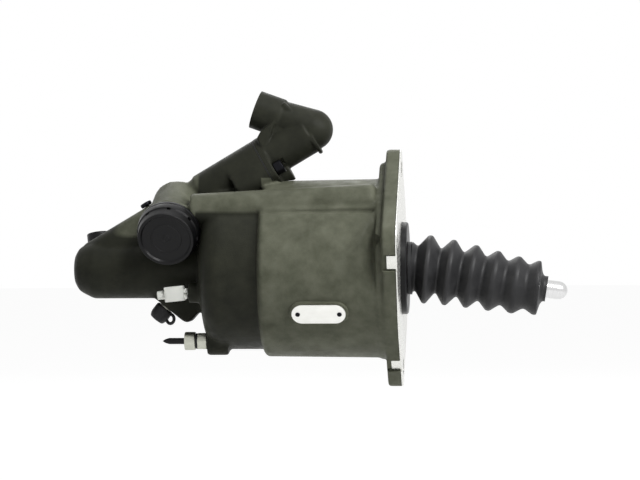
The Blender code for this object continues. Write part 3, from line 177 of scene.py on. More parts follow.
# Exhaust boss, its cap and the air duct along the sleeve
EXHAUST_TILT = 26.5
EXHAUST_TURN = 3.2
EXHAUST_ORIGIN = (-166.2, -34.5, 29.0)
EXHAUST_R = 18.7
EXHAUST_LENGTH = 43.0
EXHAUST_COLLAR_R = 22.6
EXHAUST_COLLAR_T = 2.4
EXHAUST_BORE_R = 14.0
EXHAUST_BORE_DEPTH = 28.0
CAP_BACK_R = 22.6
CAP_FRONT_R = 20.4
CAP_HEIGHT = 16.6
CAP_WALL = 2.2
CAP_RECESS = 1.8
CAP_SPIGOT_DEPTH = 8.0
CAP_RINGS = (2.0, 10.2)
CAP_RING_RISE = 0.35
SLOT_COUNT = 8
SLOT_START = 82.2
SLOT_AT = 9.4
DUCT_R = 11.5
DUCT_FRONT = (-17.0, -35.5, 49.6)
DUCT_REAR = (-150.0, -33.0, 43.0)

# Small bosses of the casting
FITTING_Y = -14.0
FITTING_Z = -52.2
FITTING_BOSS_Z = -54.2
FITTING_BOSS_R = 8.3
FITTING_BOSS_END = -141.3
FITTING_BOSS_FRONT = -125.8
FITTING_HOLE_R = 4.3
FITTING_HOLE_END = -126.5
FITTING_STEM_END = -128.5
HEX_R = 6.7
HEX_LENGTH = 7.0
TAIL_R = 3.4
RING_GAP = 1.6
RING_R = 6.65
RING_LENGTH = 7.8
RING_BORE_R = 3.7
RING_NECK_R = 2.6
NEEDLE_R = 2.3
NEEDLE_LENGTH = 11.5
NEEDLE_POINT = 5.0
PORT_Y = -30.0
PORT_Z = -16.6
PORT_BOSS_R = 7.5
PORT_BOSS_END = -153.0
PORT_HOLE_R = 3.6
PORT_HOLE_END = -144.0
PLUG_TILT = -5.7
PLUG_BODY = (11.0, 11.0, 16.4)
PLUG_STEM_R = 3.1
PLUG_STEM_LENGTH = 6.2
PLUG_SPIGOT_LENGTH = 7.0
PRONG_LENGTH = 2.2
PRONG_HEIGHT = 3.2
PRONGS_AT = (-2.9, 1.6)
LUG_HALF_T = 8.0
LUG_TIP = (-157.6, -33.6)
LUG_TIP_R = 5.2
LUG_NORMAL = 231.1
LUG_EDGE = 27.4
LUG_ROOT = (-149.0, -31.6)
LUG_INNER = (-136.0, -8.0)
BLEED_UP_EDGE = 16.2
BLEED_HOLE_R = 3.3
BLEED_HOLE_DEPTH = 18.0
BLEED_HEX_R = 4.7
BLEED_HEX_TOP = 5.0
BLEED_NECK_R = 2.2
BLEED_TIP_R = 3.0
BLEED_TOP = 10.4
BLEED_CAP_R = 6.8
BLEED_CAP_LOW = 0.9
BLEED_CAP_TOP = 12.2
LOOP_R = 3.4
LOOP_STRAP_R = 1.2
LOOP_AT = (0.0, 7.9, 5.2)
LOOP_DIRECTION = (-0.5, -0.87, 0.0)
REAR_PORT_AT = (-224.6, 15.0, 20.3)
REAR_PORT_DIRECTION = (-0.13, 0.17, 0.977)
REAR_BOSS_R = 9.6
REAR_BOSS_DEPTH = 14.0
REAR_HOLE_R = 5.3
REAR_HEAD_R = 9.2
REAR_HEAD_H = 6.5
REAR_PLUG_DEPTH = 8.0
KNOB_AT = -96.7
KNOB_R = 4.3
KNOB_H = 3.2
KNOB_HOLE_R = 1.9
KNOB_DEPTH = 6.0
PAD_X = -56.8
PAD_ANGLE = 208.4
PAD_LENGTH = 42.5
PAD_WIDTH = 17.6
PAD_RISE = 2.4
GROOVE_ANGLE = 139.7
GROOVE_WIDTH = 3.6
GROOVE_DEPTH = 1.8
RIVET_SHANK_R = 1.1
RIVET_HEAD_R = 1.85
RIVET_HEAD_H = 1.0
RIVET_SPACING = 29.7
RIVET_DEPTH = 3.5
LABEL_LENGTH = 38.5
LABEL_WIDTH = 14.8
LABEL_T = 0.8
THIN_GAP = 0.15

# Push rod, front cover and bellows
PIVOT_X = -20.0
ROD_DROOP = 7.1
ROD_R = 6.6
ROD_NECK_R = 5.0
ROD_REACH = 140.6
BALL_R = 9.0
COVER_T = 5.2
COVER_HOLE_R = 18.2
COVER_SPIGOT_R = 33.5
COVER_PROUD = 4.2
BOOT_START = 4.5
BOOT_FOLDS_START = 6.9
BOOT_BASE_R = 19.2
BOOT_VALLEY_R = 15.9
BOOT_FIRST_PEAK_R = 24.5
BOOT_LAST_PEAK_R = 19.3
BOOT_FIRST_PEAK_X = 18.0
BOOT_FOLD_PITCH = 15.9
BOOT_FOLDS = 6
BOOT_END = 104.5
BOOT_LIP_R = 9.2
BOOT_MOULD_WALL = 2.34
BOOT_COLLAR_WALL = 1.7
BOOT_HANG = 1.6
BOOT_BEND = 1.3
BOOT_BEND_START = 6.5

# The photograph's camera: a long lens, nearly square to the servo's side
CAMERA_TURN = 4.6
CAMERA_ROLL = 0.3
CAMERA_DISTANCE = 2000.0
CAMERA_LENS = 154.1
CAMERA_TARGET = (-60.2, 0.0, 20.8)
FLOOR_Z = -165.0

# Where the painted light and sheen on the casting start, over the painted shade of its darker tones: along X
# at the flange and the boss, and out from the axis, up and towards the camera, on the boss and on the duct
PAINTED_LIGHT_FLANGE_X = -40.0
PAINTED_LIGHT_BOSS_X = -148.0
PAINTED_LIGHT_BOSS_REACH = 27.0
PAINTED_LIGHT_DUCT_REACH = 60.5


def linear(hex_colour):
    """A colour written as sRGB hex, as the linear values that a shader takes."""
    channels = [int(hex_colour[i : i + 2], 16) / 255 for i in (0, 2, 4)]
    return [c / 12.92 if c <= 0.04045 else ((c + 0.055) / 1.055) ** 2.4 for c in channels]


def colour_property(name, hex_colour, description):
    return FloatVectorProperty(
        name=name, subtype="COLOR", size=3, min=0, max=1, default=linear(hex_colour), description=description
    )


class ServoColours(bpy.types.PropertyGroup):
    # cast and cast_dark: the casting's tone with painted light and sheen, for the sleeve, the flange, the
    # duct and the exhaust boss; cast_dark is its random darker mottle.
    cast: colour_property("Casting", "656759", "Olive-grey skin of the die castings")
    cast_dark: colour_property("Casting, darker", "4D4F42", "Darker patches of the casting's skin")
    # rear and rear_dark: the same tone with painted shade, for the rear, the nose and the barrel, and also
    # taken by the elbow; rear_dark is its random darker mottle.
    rear: colour_property("Rear", "2F3028", "Darker skin of the rear, the barrel and the elbow")
    rear_dark: colour_property("Rear, darker", "24251F", "Darker patches of that skin")
    rubber: colour_property("Rubber", "1E1E1F", "Moulded rubber of the bellows and the bleed cap")
    plastic: colour_property("Black plastic", "070708", "Exhaust cap, cover and plugs")
    plate: colour_property("Plated sheet", "E4E4DF", "Zinc plating of the front plate")
    nylon: colour_property("Nylon", "E6E8E1", "White port plug")


class ServoSizes(bpy.types.PropertyGroup):
    housing_voxel: FloatProperty(
        name="Housing voxel", default=1.25, min=0.6, max=3, description="Voxel of its cast skin, in mm"
    )
    elbow_voxel: FloatProperty(
        name="Elbow voxel", default=0.6, min=0.4, max=2, description="Voxel of its cast skin, in mm"
    )
    fillet_passes: IntProperty(
        name="Fillet passes", default=4, min=0, max=30, description="Passes that round the cast edges"
    )


def power_property(name, watts, description):
    return FloatProperty(name=name, default=watts, min=0, unit="POWER", description=description)


class StageSettings(bpy.types.PropertyGroup):
    key_power: power_property("Key power", 14, "Main lamp, above the camera")
    side_power: power_property("Side power", 3, "Small lamp beside the push rod")
    top_power: power_property("Top power", 3, "Soft lamp over the servo")
    rear_power: power_property("Rear power", 4, "Soft lamp behind the servo")
    world_level: FloatProperty(
        name="World level", default=0.08, min=0, max=1, description="Level of the plain light from all round"
    )


def frame_at(origin, direction, up=(0.0, 0.0, 1.0)):
    """A placing matrix in millimetres: local Z along direction, local Y as near to up as it can be."""
    z = Vector(direction).normalized()
    y = (Vector(up) - z * Vector(up).dot(z)).normalized()
    x = y.cross(z)
    matrix = Matrix((x, y, z)).transposed().to_4x4()
    matrix.translation = Vector(origin)
    return matrix


def shifted(place, x=0.0, y=0.0, z=0.0):
    return place @ Matrix.Translation((x, y, z))


def polar(radius, degrees):
    return (radius * math.cos(math.radians(degrees)), radius * math.sin(math.radians(degrees)))


def arc(centre, radius, start, end, steps):
    """Points from start to end, in degrees, about centre."""
    return [
        tuple(Vector(centre) + Vector(polar(radius, start + (end - start) * i / steps)))
        for i in range(steps + 1)
    ]


def circle(centre, radius, steps=ROUND_FINE):
    return arc(centre, radius, 0, 360 * (steps - 1) / steps, steps - 1)


def hull(circles, steps=ROUND):
    """The taut outline round a set of (centre, radius) circles."""
    points = [Vector(p) for centre, radius in circles for p in circle(centre, radius, steps)]
    return [tuple(points[i]) for i in convex_hull_2d(points)]


def stadium(length, width, steps=ROUND_FINE):
    reach = (length - width) / 2
    return hull([((-reach, 0), width / 2), ((reach, 0), width / 2)], steps)


def rounded(profile, radius, steps=3):
    """The profile with each inner corner rounded, by no more than the sides beside it allow."""
    points = [Vector(p) for p in profile]
    made = [points[0]]
    for before, corner, after in zip(points, points[1:], points[2:]):
        back, on = before - corner, after - corner
        if back.length < 1e-6 or on.length < 1e-6 or abs(back.angle(on) - math.pi) < 0.05:
            made.append(corner)
            continue
        reach = min(radius, back.length * 0.45, on.length * 0.45)
        start, end = corner + back.normalized() * reach, corner + on.normalized() * reach
        for i in range(steps + 1):
            t = i / steps
            made.append(start * (1 - t) ** 2 + corner * 2 * t * (1 - t) + end * t * t)
    made.append(points[-1])
    return [tuple(p) for p in made]


def spin(profile, place, steps=ROUND, ring=False):
    """A profile of (radius, height) points spun about local Z. A ring's profile is a closed loop."""
    shape = bmesh.new()
    verts = [shape.verts.new((r, 0, h)) for r, h in profile]
    ends = verts[1:] + (verts[:1] if ring else [])
    edges = [shape.edges.new(pair) for pair in zip(verts, ends)]
    bmesh.ops.spin(
        shape, geom=verts + edges, axis=(0, 0, 1), cent=(0, 0, 0), steps=steps, angle=math.tau, use_merge=True
    )
    bmesh.ops.remove_doubles(shape, verts=shape.verts, dist=0.001)
    bmesh.ops.recalc_face_normals(shape, faces=shape.faces)
    shape.transform(place)
    return shape


def rod(radius, low, high, place, steps=ROUND_FINE, edge=0.0):
    profile = [(0, high), (radius, high), (radius, low), (0, low)]
    return spin(rounded(profile, edge) if edge else profile, place, steps)


def bevel(shape, edges, offset, segments):
    bmesh.ops.bevel(
        shape, geom=edges, offset=offset, segments=segments, profile=0.5, affect="EDGES", material=-1
    )


def slab(outline, low, high, place, edge=0.0):
    """An outline as a plate from low to high along local Z, with its rims bevelled by edge."""
    shape = bmesh.new()
    face = shape.faces.new([shape.verts.new((x, y, low)) for x, y in outline])
    lifted = bmesh.ops.extrude_face_region(shape, geom=[face])["geom"]
    top = [v for v in lifted if isinstance(v, bmesh.types.BMVert)]
    bmesh.ops.translate(shape, verts=top, vec=(0, 0, high - low))
    bmesh.ops.recalc_face_normals(shape, faces=shape.faces)
    if edge:
        rims = [e for e in shape.edges if abs(e.verts[0].co.z - e.verts[1].co.z) < 1e-6]
        bevel(shape, rims, edge, 2)
    shape.transform(place)
    return shape


def block(size, place, edge=0.0):
    shape = bmesh.new()
    bmesh.ops.create_cube(shape, size=1.0, matrix=Matrix.Diagonal((*size, 1.0)))
    if edge:
        bevel(shape, shape.edges[:], edge, 3)
    shape.transform(place)
    return shape


def globe(radius, place, steps=ROUND):
    return spin(arc((0, 0), radius, 90, -90, steps // 2), place, steps)


def as_object(name, *shapes):
    """One object of all the shapes, in metres."""
    whole = bmesh.new()
    for shape in shapes:
        part = bpy.data.meshes.new("part")
        shape.to_mesh(part)
        shape.free()
        whole.from_mesh(part)
        bpy.data.meshes.remove(part)
    bmesh.ops.scale(whole, vec=(MM, MM, MM), verts=whole.verts)
    mesh = bpy.data.meshes.new(name)
    whole.to_mesh(mesh)
    whole.free()
    made = bpy.data.objects.new(name, mesh)
    bpy.context.scene.collection.objects.link(made)
    return made


def settle(made):
    """Gives the object the mesh that its modifiers make, and takes the modifiers off."""
    bpy.context.view_layer.update()
    evaluated = made.evaluated_get(bpy.context.evaluated_depsgraph_get())
    mesh = bpy.data.meshes.new_from_object(evaluated)
    made.modifiers.clear()
    old, made.data = made.data, mesh
    mesh.name = made.name
    bpy.data.meshes.remove(old)


def carve(made, operation, *shapes):
    """Joins or cuts the object with the shapes, one Boolean for all of them."""
    group = bpy.data.collections.new("cutters")
    helpers = [as_object(f"cutter_{number}", shape) for number, shape in enumerate(shapes)]
    for helper in helpers:
        group.objects.link(helper)
    boolean = made.modifiers.new("cut", "BOOLEAN")
    boolean.operation = operation
    boolean.operand_type = "COLLECTION"
    boolean.collection = group
    boolean.solver = "EXACT"
    settle(made)
    for helper in helpers:
        mesh = helper.data
        bpy.data.objects.remove(helper)
        bpy.data.meshes.remove(mesh)
    bpy.data.collections.remove(group)


def cast_skin(made, voxel, passes):
    """Merges overlapping solids into one skin with the soft edges of a casting."""
    remesh = made.modifiers.new("skin", "REMESH")
    remesh.mode = "VOXEL"
    remesh.voxel_size = voxel * MM
    smooth = made.modifiers.new("fillets", "SMOOTH")
    smooth.factor = 0.5
    smooth.iterations = passes
    settle(made)


def finish_piece(made, look, node, body="housing", sharp=35):
    """Shades the piece, gives it its material, ties it to its body and hides the CAD node it stands for."""
    mesh = made.data
    mesh.shade_smooth()
    mesh.set_sharp_from_angle(angle=math.radians(sharp))
    mesh.materials.clear()
    mesh.materials.append(MATERIALS[look])
    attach(made, body)
    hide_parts(node)


def feed(tree, node, inputs):
    """Gives a node's inputs, by name or number, their values or links."""
    for name, value in inputs.items():
        if isinstance(value, bpy.types.NodeSocket):
            tree.links.new(value, node.inputs[name])
        else:
            node.inputs[name].default_value = value


def add_node(tree, kind, inputs=None, **settings):
    """A node with its settings and its inputs."""
    node = tree.nodes.new(kind)
    for name, value in settings.items():
        setattr(node, name, value)
    feed(tree, node, inputs or {})
    return node


def new_material(name):
    material = bpy.data.materials.new(name)
    material.use_nodes = True
    tree = material.node_tree
    shader = tree.nodes["Principled BSDF"]
    place = add_node(tree, "ShaderNodeTexCoord").outputs["Object"]
    return material, tree, shader, place


def noise(tree, place, size_mm, detail=3.0, roughness=0.5, distortion=0.0):
    """A noise whose cells are about size_mm across."""
    inputs = {
        "Vector": place,
        "Scale": 1000 / size_mm,
        "Detail": detail,
        "Roughness": roughness,
        "Distortion": distortion,
    }
    return add_node(tree, "ShaderNodeTexNoise", inputs).outputs["Fac"]


def ramp(tree, value, low, high, start=0.3, end=0.7):
    """Maps a noise onto a range of values."""
    inputs = {"Value": value, "From Min": start, "From Max": end, "To Min": low, "To Max": high}
    return add_node(tree, "ShaderNodeMapRange", inputs).outputs["Result"]


def mixed_colour(tree, fraction, first, second):
    """A mix of two colours, each a link or three linear values."""
    ends = [c if isinstance(c, bpy.types.NodeSocket) else (*c, 1) for c in (first, second)]
    inputs = {0: fraction, 6: ends[0], 7: ends[1]}
    return add_node(tree, "ShaderNodeMix", inputs, data_type="RGBA").outputs[2]


def dress(tree, shader, colour, roughness, metallic, specular=0.5):
    """Gives the shader its colour and roughness, and how metallic and how glossy it is."""
    inputs = {"Base Color": colour, "Roughness": roughness}
    feed(tree, shader, {**inputs, "Metallic": metallic, "Specular IOR Level": specular})


def add_bump(tree, shader, height, depth_mm):
    bump = add_node(tree, "ShaderNodeBump", {"Height": height, "Distance": depth_mm * MM, "Strength": 1.0})
    tree.links.new(bump.outputs["Normal"], shader.inputs["Normal"])


def combined(tree, operation, first, second):
    """Two values put together by a Math node."""
    return add_node(tree, "ShaderNodeMath", {0: first, 1: second}, operation=operation).outputs[0]


def painted_light_mask(tree, place):
    """1 where light and sheen are painted on the casting: the sleeve, the flange, the duct and the exhaust
    boss; elsewhere the casting keeps its darker tones with painted shade.
    """
    axes = add_node(tree, "ShaderNodeSeparateXYZ", {"Vector": place}).outputs
    x, y, z = axes["X"], axes["Y"], axes["Z"]
    sleeve = ramp(tree, x, 0, 1, (SLEEVE_START - 1.0) * MM, (SLEEVE_START - 0.4) * MM)
    under_barrel = ramp(tree, z, 1, 0, (SLEEVE_R + 1.6) * MM, (SLEEVE_R + 2.2) * MM)
    flange = ramp(tree, x, 0, 1, PAINTED_LIGHT_FLANGE_X * MM, (PAINTED_LIGHT_FLANGE_X + 2) * MM)
    front = combined(tree, "MINIMUM", sleeve, combined(tree, "MAXIMUM", under_barrel, flange))
    outwards = combined(tree, "MULTIPLY", combined(tree, "SUBTRACT", z, y), math.sqrt(0.5))
    start, end = (PAINTED_LIGHT_BOSS_X - 2) * MM, (PAINTED_LIGHT_BOSS_X + 2) * MM
    reach = ramp(tree, x, PAINTED_LIGHT_BOSS_REACH * MM, PAINTED_LIGHT_DUCT_REACH * MM, start, end)
    beyond = ramp(tree, combined(tree, "SUBTRACT", outwards, reach), 0, 1, -1 * MM, 1 * MM)
    clear_of_barrel = ramp(tree, y, 1, 0, -(JOINT_BOSS_REACH + 2) * MM, -JOINT_BOSS_REACH * MM)
    boss = ramp(tree, x, 1, 0, (PAINTED_LIGHT_BOSS_X - 1) * MM, (PAINTED_LIGHT_BOSS_X + 1) * MM)
    side = combined(tree, "MINIMUM", beyond, combined(tree, "MAXIMUM", clear_of_barrel, boss))
    return combined(tree, "MAXIMUM", front, side)


def die_cast_aluminium(name, tones, lit_tones=None):
    """Die-cast aluminium with an olive coat: a satin skin, mottled where the melt cooled, with fine grain.
    The first tones are a darker copy with painted shade; lighter tones, where given, paint light and sheen on
    the sleeve, the flange, the duct and the exhaust boss.
    """
    material, tree, shader, place = new_material(name)
    patches = ramp(tree, noise(tree, place, 14, detail=5, roughness=0.6), 0, 1)
    colour = mixed_colour(tree, patches, *tones)
    if lit_tones:
        # Painted light and sheen: the lighter copy of the casting's tone, laid over the painted shade of the
        # darker one.
        pale = mixed_colour(tree, patches, *lit_tones)
        colour = mixed_colour(tree, painted_light_mask(tree, place), colour, pale)
    roughness = ramp(tree, noise(tree, place, 5, detail=4), 0.4, 0.56)
    dress(tree, shader, colour, roughness, metallic=0.0, specular=0.08)
    add_bump(tree, shader, noise(tree, place, 0.9, detail=4, roughness=0.65), 0.12)
    return material


def machined_aluminium():
    """Turned aluminium under a clear anodic film: a light satin metal with fine tool marks."""
    material, tree, shader, place = new_material("anodised aluminium")
    patches = noise(tree, place, 6)
    colour = mixed_colour(tree, patches, linear("9A9C95"), linear("868880"))
    dress(tree, shader, colour, ramp(tree, patches, 0.3, 0.42), metallic=0.9)
    add_bump(tree, shader, noise(tree, place, 0.5), 0.02)
    return material


def plated_steel(name, light, dark, rough_low, rough_high):
    """Steel sheet or bar with a zinc plating: bright, with a faint cloudy pattern."""
    material, tree, shader, place = new_material(name)
    clouds = noise(tree, place, 7, detail=5)
    roughness = ramp(tree, noise(tree, place, 2.5), rough_low, rough_high)
    dress(tree, shader, mixed_colour(tree, clouds, light, dark), roughness, metallic=0.9)
    add_bump(tree, shader, noise(tree, place, 1.2), 0.02)
    return material


def hard_chrome():
    """Hard chrome on a ground rod: near mirror, with faint grinding rings across its length."""
    material, tree, shader, place = new_material("hard chrome")
    stretched = add_node(tree, "ShaderNodeMapping", {"Vector": place, "Scale": (9.0, 1.0, 1.0)})
    rings = noise(tree, stretched.outputs["Vector"], 5, detail=4)
    colour = mixed_colour(tree, rings, linear("E2E2E2"), linear("C4C4C4"))
    dress(tree, shader, colour, ramp(tree, rings, 0.14, 0.26), metallic=1.0)
    add_bump(tree, shader, rings, 0.01)
    return material


def moulded_rubber(name, colour, rough_low, rough_high):
    """Moulded black rubber: a dull skin with a soft grey sheen and a little bloom."""
    material, tree, shader, place = new_material(name)
    bloom = noise(tree, place, 9, detail=5, roughness=0.6)
    dusty = [min(1, c * 1.5 + 0.004) for c in colour]
    mixed = mixed_colour(tree, ramp(tree, bloom, 0, 1, 0.4, 0.8), colour, dusty)
    dress(tree, shader, mixed, ramp(tree, bloom, rough_low, rough_high), metallic=0.0, specular=0.25)
    add_bump(tree, shader, noise(tree, place, 0.7), 0.03)
    return material


def moulded_plastic(name, colour, rough_low, rough_high):
    """Injection-moulded plastic: an even colour with a fine spark-eroded grain."""
    material, tree, shader, place = new_material(name)
    drift = noise(tree, place, 12)
    mixed = mixed_colour(tree, drift, colour, [min(1, c * 1.25) for c in colour])
    dress(tree, shader, mixed, ramp(tree, drift, rough_low, rough_high), metallic=0.0, specular=0.2)
    add_bump(tree, shader, noise(tree, place, 0.5), 0.02)
    return material


def turned_brass():
    """Turned brass: warm metal with fine tool marks."""
    material, tree, shader, place = new_material("turned brass")
    marks = noise(tree, place, 1.5)
    colour = mixed_colour(tree, marks, linear("C2A45F"), linear("A58848"))
    dress(tree, shader, colour, ramp(tree, marks, 0.25, 0.4), metallic=1.0)
    return material


def pressed_felt():
    """Pressed wool felt: matt, with short tangled fibres."""
    material, tree, shader, place = new_material("pressed felt")
    fibres = noise(tree, place, 0.8, detail=6, roughness=0.7, distortion=1.5)
    colour = mixed_colour(tree, fibres, linear("4C4C47"), linear("63635C"))
    dress(tree, shader, colour, roughness=0.95, metallic=0.0)
    add_bump(tree, shader, fibres, 0.3)
    return material


def make_materials():
    colours = bpy.context.scene.servo_colours
    plate_dark = [c * 0.86 for c in colours.plate]
    return {
        # The housing: painted shade in the darker tones, and painted light and sheen in the lighter tones on
        # the sleeve, the flange, the duct and the exhaust boss.
        "cast": die_cast_aluminium(
            "die-cast aluminium", (colours.rear, colours.rear_dark), (colours.cast, colours.cast_dark)
        ),
        # The elbow takes only the darker tones, without the painted light.
        "elbow": die_cast_aluminium("die-cast aluminium, elbow", (colours.rear, colours.rear_dark)),
        "anodised": machined_aluminium(),
        "bright_plate": plated_steel("zinc-plated sheet", colours.plate, plate_dark, 0.22, 0.34),
        "zinc": plated_steel("zinc-plated steel", linear("C6C7BC"), linear("A5A699"), 0.3, 0.42),
        "inner_steel": plated_steel("ground steel", linear("BDBFC1"), linear("A2A4A6"), 0.2, 0.32),
        "chrome_rod": hard_chrome(),
        "black_steel": plated_steel("black-oxide steel", linear("1B1B1F"), linear("121215"), 0.3, 0.45),
        "black_plastic": moulded_plastic("black polyamide", colours.plastic, 0.3, 0.42),
        "nylon": moulded_plastic("natural nylon", colours.nylon, 0.35, 0.45),
        "rubber": moulded_rubber("moulded rubber", colours.rubber, 0.42, 0.58),
        "brass": turned_brass(),
        "label": plated_steel("satin aluminium sheet", linear("EFEFEB"), linear("DFDFDA"), 0.38, 0.5),
        "felt": pressed_felt(),
    }


MAIN = frame_at((0, 0, 0), (1, 0, 0))
SIDE = frame_at((0, 0, 0), (0, -1, 0))
VALVE_DIRECTION = (math.cos(math.radians(VALVE_TILT)), 0, math.sin(math.radians(VALVE_TILT)))
VALVE = frame_at(VALVE_ORIGIN, VALVE_DIRECTION)
EXHAUST_YAW = Matrix.Rotation(-math.radians(EXHAUST_TURN), 3, "Z")
EXHAUST_DIRECTION = EXHAUST_YAW @ Vector((0, *polar(-1, EXHAUST_TILT)))
EXHAUST = frame_at(EXHAUST_ORIGIN, EXHAUST_DIRECTION)
TURN_POINT = VALVE @ Vector((0, 0, ELBOW_TURN))
MOUTH_DIRECTION = (-math.cos(math.radians(MOUTH_TILT)), 0, math.sin(math.radians(MOUTH_TILT)))
PASSAGE = frame_at(TURN_POINT, MOUTH_DIRECTION)
ROD_DIRECTION = (math.cos(math.radians(ROD_DROOP)), 0, -math.sin(math.radians(ROD_DROOP)))
ROD = frame_at((PIVOT_X, 0, 0), ROD_DIRECTION)
LUG_FOOT = Vector(LUG_TIP) + Vector(polar(LUG_TIP_R, LUG_NORMAL))
LUG_RISE = Vector(polar(1, LUG_NORMAL - 90))
BLEED_POINT = LUG_FOOT + LUG_RISE * BLEED_UP_EDGE
BLEED_NORMAL = polar(1, LUG_NORMAL)
BLEED = frame_at((BLEED_POINT.x, 0, BLEED_POINT.y), (BLEED_NORMAL[0], 0, BLEED_NORMAL[1]), up=(1, 0, 0))
REAR_PORT = frame_at(REAR_PORT_AT, REAR_PORT_DIRECTION)
KNOB_FOOT = VALVE @ Vector((0, CHANNEL_R, KNOB_AT))
KNOB = frame_at(KNOB_FOOT, VALVE.col[1].to_3d(), up=VALVE_DIRECTION)
FITTING = frame_at((0, FITTING_Y, FITTING_Z), (1, 0, 0))
PORT = frame_at((0, PORT_Y, PORT_Z), (1, 0, 0))
DUCT = frame_at(DUCT_FRONT, Vector(DUCT_FRONT) - Vector(DUCT_REAR))
PAD = frame_at((PAD_X, *polar(SLEEVE_R, PAD_ANGLE)), (0, *polar(1, PAD_ANGLE)))


def corner_centres():
    return [polar(CORNER_CIRCLE_R, angle) for angle in CORNER_ANGLES]


def bolt_places():
    return [frame_at((0, y, z), (1, 0, 0)) for y, z in corner_centres()]


def flange_outline():
    return hull([((0, 0), FLANGE_CENTRE_R)] + [(centre, CORNER_R) for centre in corner_centres()])


def flange_root():
    """The outline of the fillet behind the flange: wider at three of its corners than the sleeve."""
    corners = [(polar(CORNER_CIRCLE_R - ROOT_INSET, angle), ROOT_CORNER_R) for angle in ROOT_ANGLES]
    return hull([((0, 0), SLEEVE_R + SLEEVE_DRAFT + 1)] + corners)


def rim_frame(angle):
    """On the flange rim at this angle: local Z runs outwards along the rim's normal, local Y along +X."""
    outline = flange_outline()
    ray = Vector(polar(1, angle))
    for a, b in zip(outline, outline[1:] + outline[:1]):
        a, b = Vector(a), Vector(b)
        side = b - a
        denominator = ray.x * side.y - ray.y * side.x
        if abs(denominator) < 1e-9:
            continue
        reach = (a.x * side.y - a.y * side.x) / denominator
        along = (a.x * ray.y - a.y * ray.x) / denominator
        if reach > 0 and 0 <= along <= 1:
            normal = Vector((side.y, -side.x)).normalized()
            normal = normal if normal.dot(ray) > 0 else -normal
            point = ray * reach
            return frame_at((0, point.x, point.y), (0, normal.x, normal.y), up=(1, 0, 0))


def screw_centres():
    return [(side * SCREW_SIDE, -SCREW_DROP) for side in (-1, 1)]


def screw_places():
    return [shifted(VALVE, x, y) for x, y in screw_centres()]


def joint_outline():
    """The outline that the barrel, the gasket and the elbow share at their joint."""
    lands = [(centre, SCREW_LAND_R) for centre in screw_centres()]
    return hull([((0, 0), BARREL_R), ((0, -EAR_DROP), EAR_R)] + lands)


def rivet_places():
    return [shifted(PAD, x=side * RIVET_SPACING / 2) for side in (-1, 1)]


def sleeve_clearance():
    return rod(SLEEVE_R + 2 * GAP, SLEEVE_START - 5, -50, MAIN, steps=ROUND)


def body_profile():
    corner = arc((REAR_R - REAR_CORNER, DOME_END + DOME_RISE + REAR_CORNER), REAR_CORNER, 0, -78, 14)
    dome_r, dome_x = corner[-1]
    dome = [(dome_r * t, DOME_END + (dome_x - DOME_END) * t * t) for t in (0.8, 0.6, 0.4, 0.2, 0.0)]
    step = 2.0
    return (
        [(0, FLANGE_FRONT - 4), (SLEEVE_R + SLEEVE_DRAFT, FLANGE_FRONT - 4)]
        + [(SLEEVE_R, SLEEVE_START + step), (SLEEVE_R - step, SLEEVE_START), (REAR_R, SLEEVE_START)]
        + corner
        + dome
    )


def nose_profile():
    side_end = NOSE_END + NOSE_CHAMFER_LENGTH
    bare = [
        (0, BORE_END - 4),
        (NOSE_R, BORE_END - 4),
        (NOSE_R, side_end),
        (NOSE_R * 0.83, NOSE_END + 6.5),
        (NOSE_R * 0.73, NOSE_END + 3.1),
        (NOSE_FACE_R, NOSE_END),
        (0, NOSE_END),
    ]
    return rounded(bare, 1.5, steps=4)


def lug_outline():
    corner = tuple(LUG_FOOT + LUG_RISE * LUG_EDGE)
    tip = arc(LUG_TIP, LUG_TIP_R, LUG_NORMAL, 325, 10)
    root = [LUG_ROOT, (LUG_INNER[0], LUG_ROOT[1]), LUG_INNER, (corner[0], LUG_INNER[1])]
    return [corner] + tip + root


def scallop(angle):
    """A wedge that cuts a bolt clearance across the sleeve, beside a side corner of the flange."""
    outer = SLEEVE_R + 12
    slope = SCALLOP_DEPTH / SCALLOP_LENGTH
    deep, shallow = FLANGE_BACK + 4, FLANGE_BACK - SCALLOP_LENGTH - 6
    outline = [
        (deep, SLEEVE_R - SCALLOP_DEPTH - 4 * slope),
        (deep, outer),
        (shallow, outer),
        (shallow, SLEEVE_R + 6 * slope),
    ]
    radial = Vector((0, *polar(1, angle)))
    return slab(outline, -50, 50, frame_at((0, 0, 0), Vector((1, 0, 0)).cross(radial), up=radial))


def ledge_groove():
    """The shallow groove along the sleeve under the duct."""
    radial = Vector((0, *polar(1, GROOVE_ANGLE)))
    start, end = SLEEVE_START - 5, FLANGE_BACK - 6
    middle = radial * SLEEVE_R + Vector(((start + end) / 2, 0, 0))
    return block((GROOVE_WIDTH, end - start, 2 * GROOVE_DEPTH), frame_at(middle, radial, up=(1, 0, 0)))


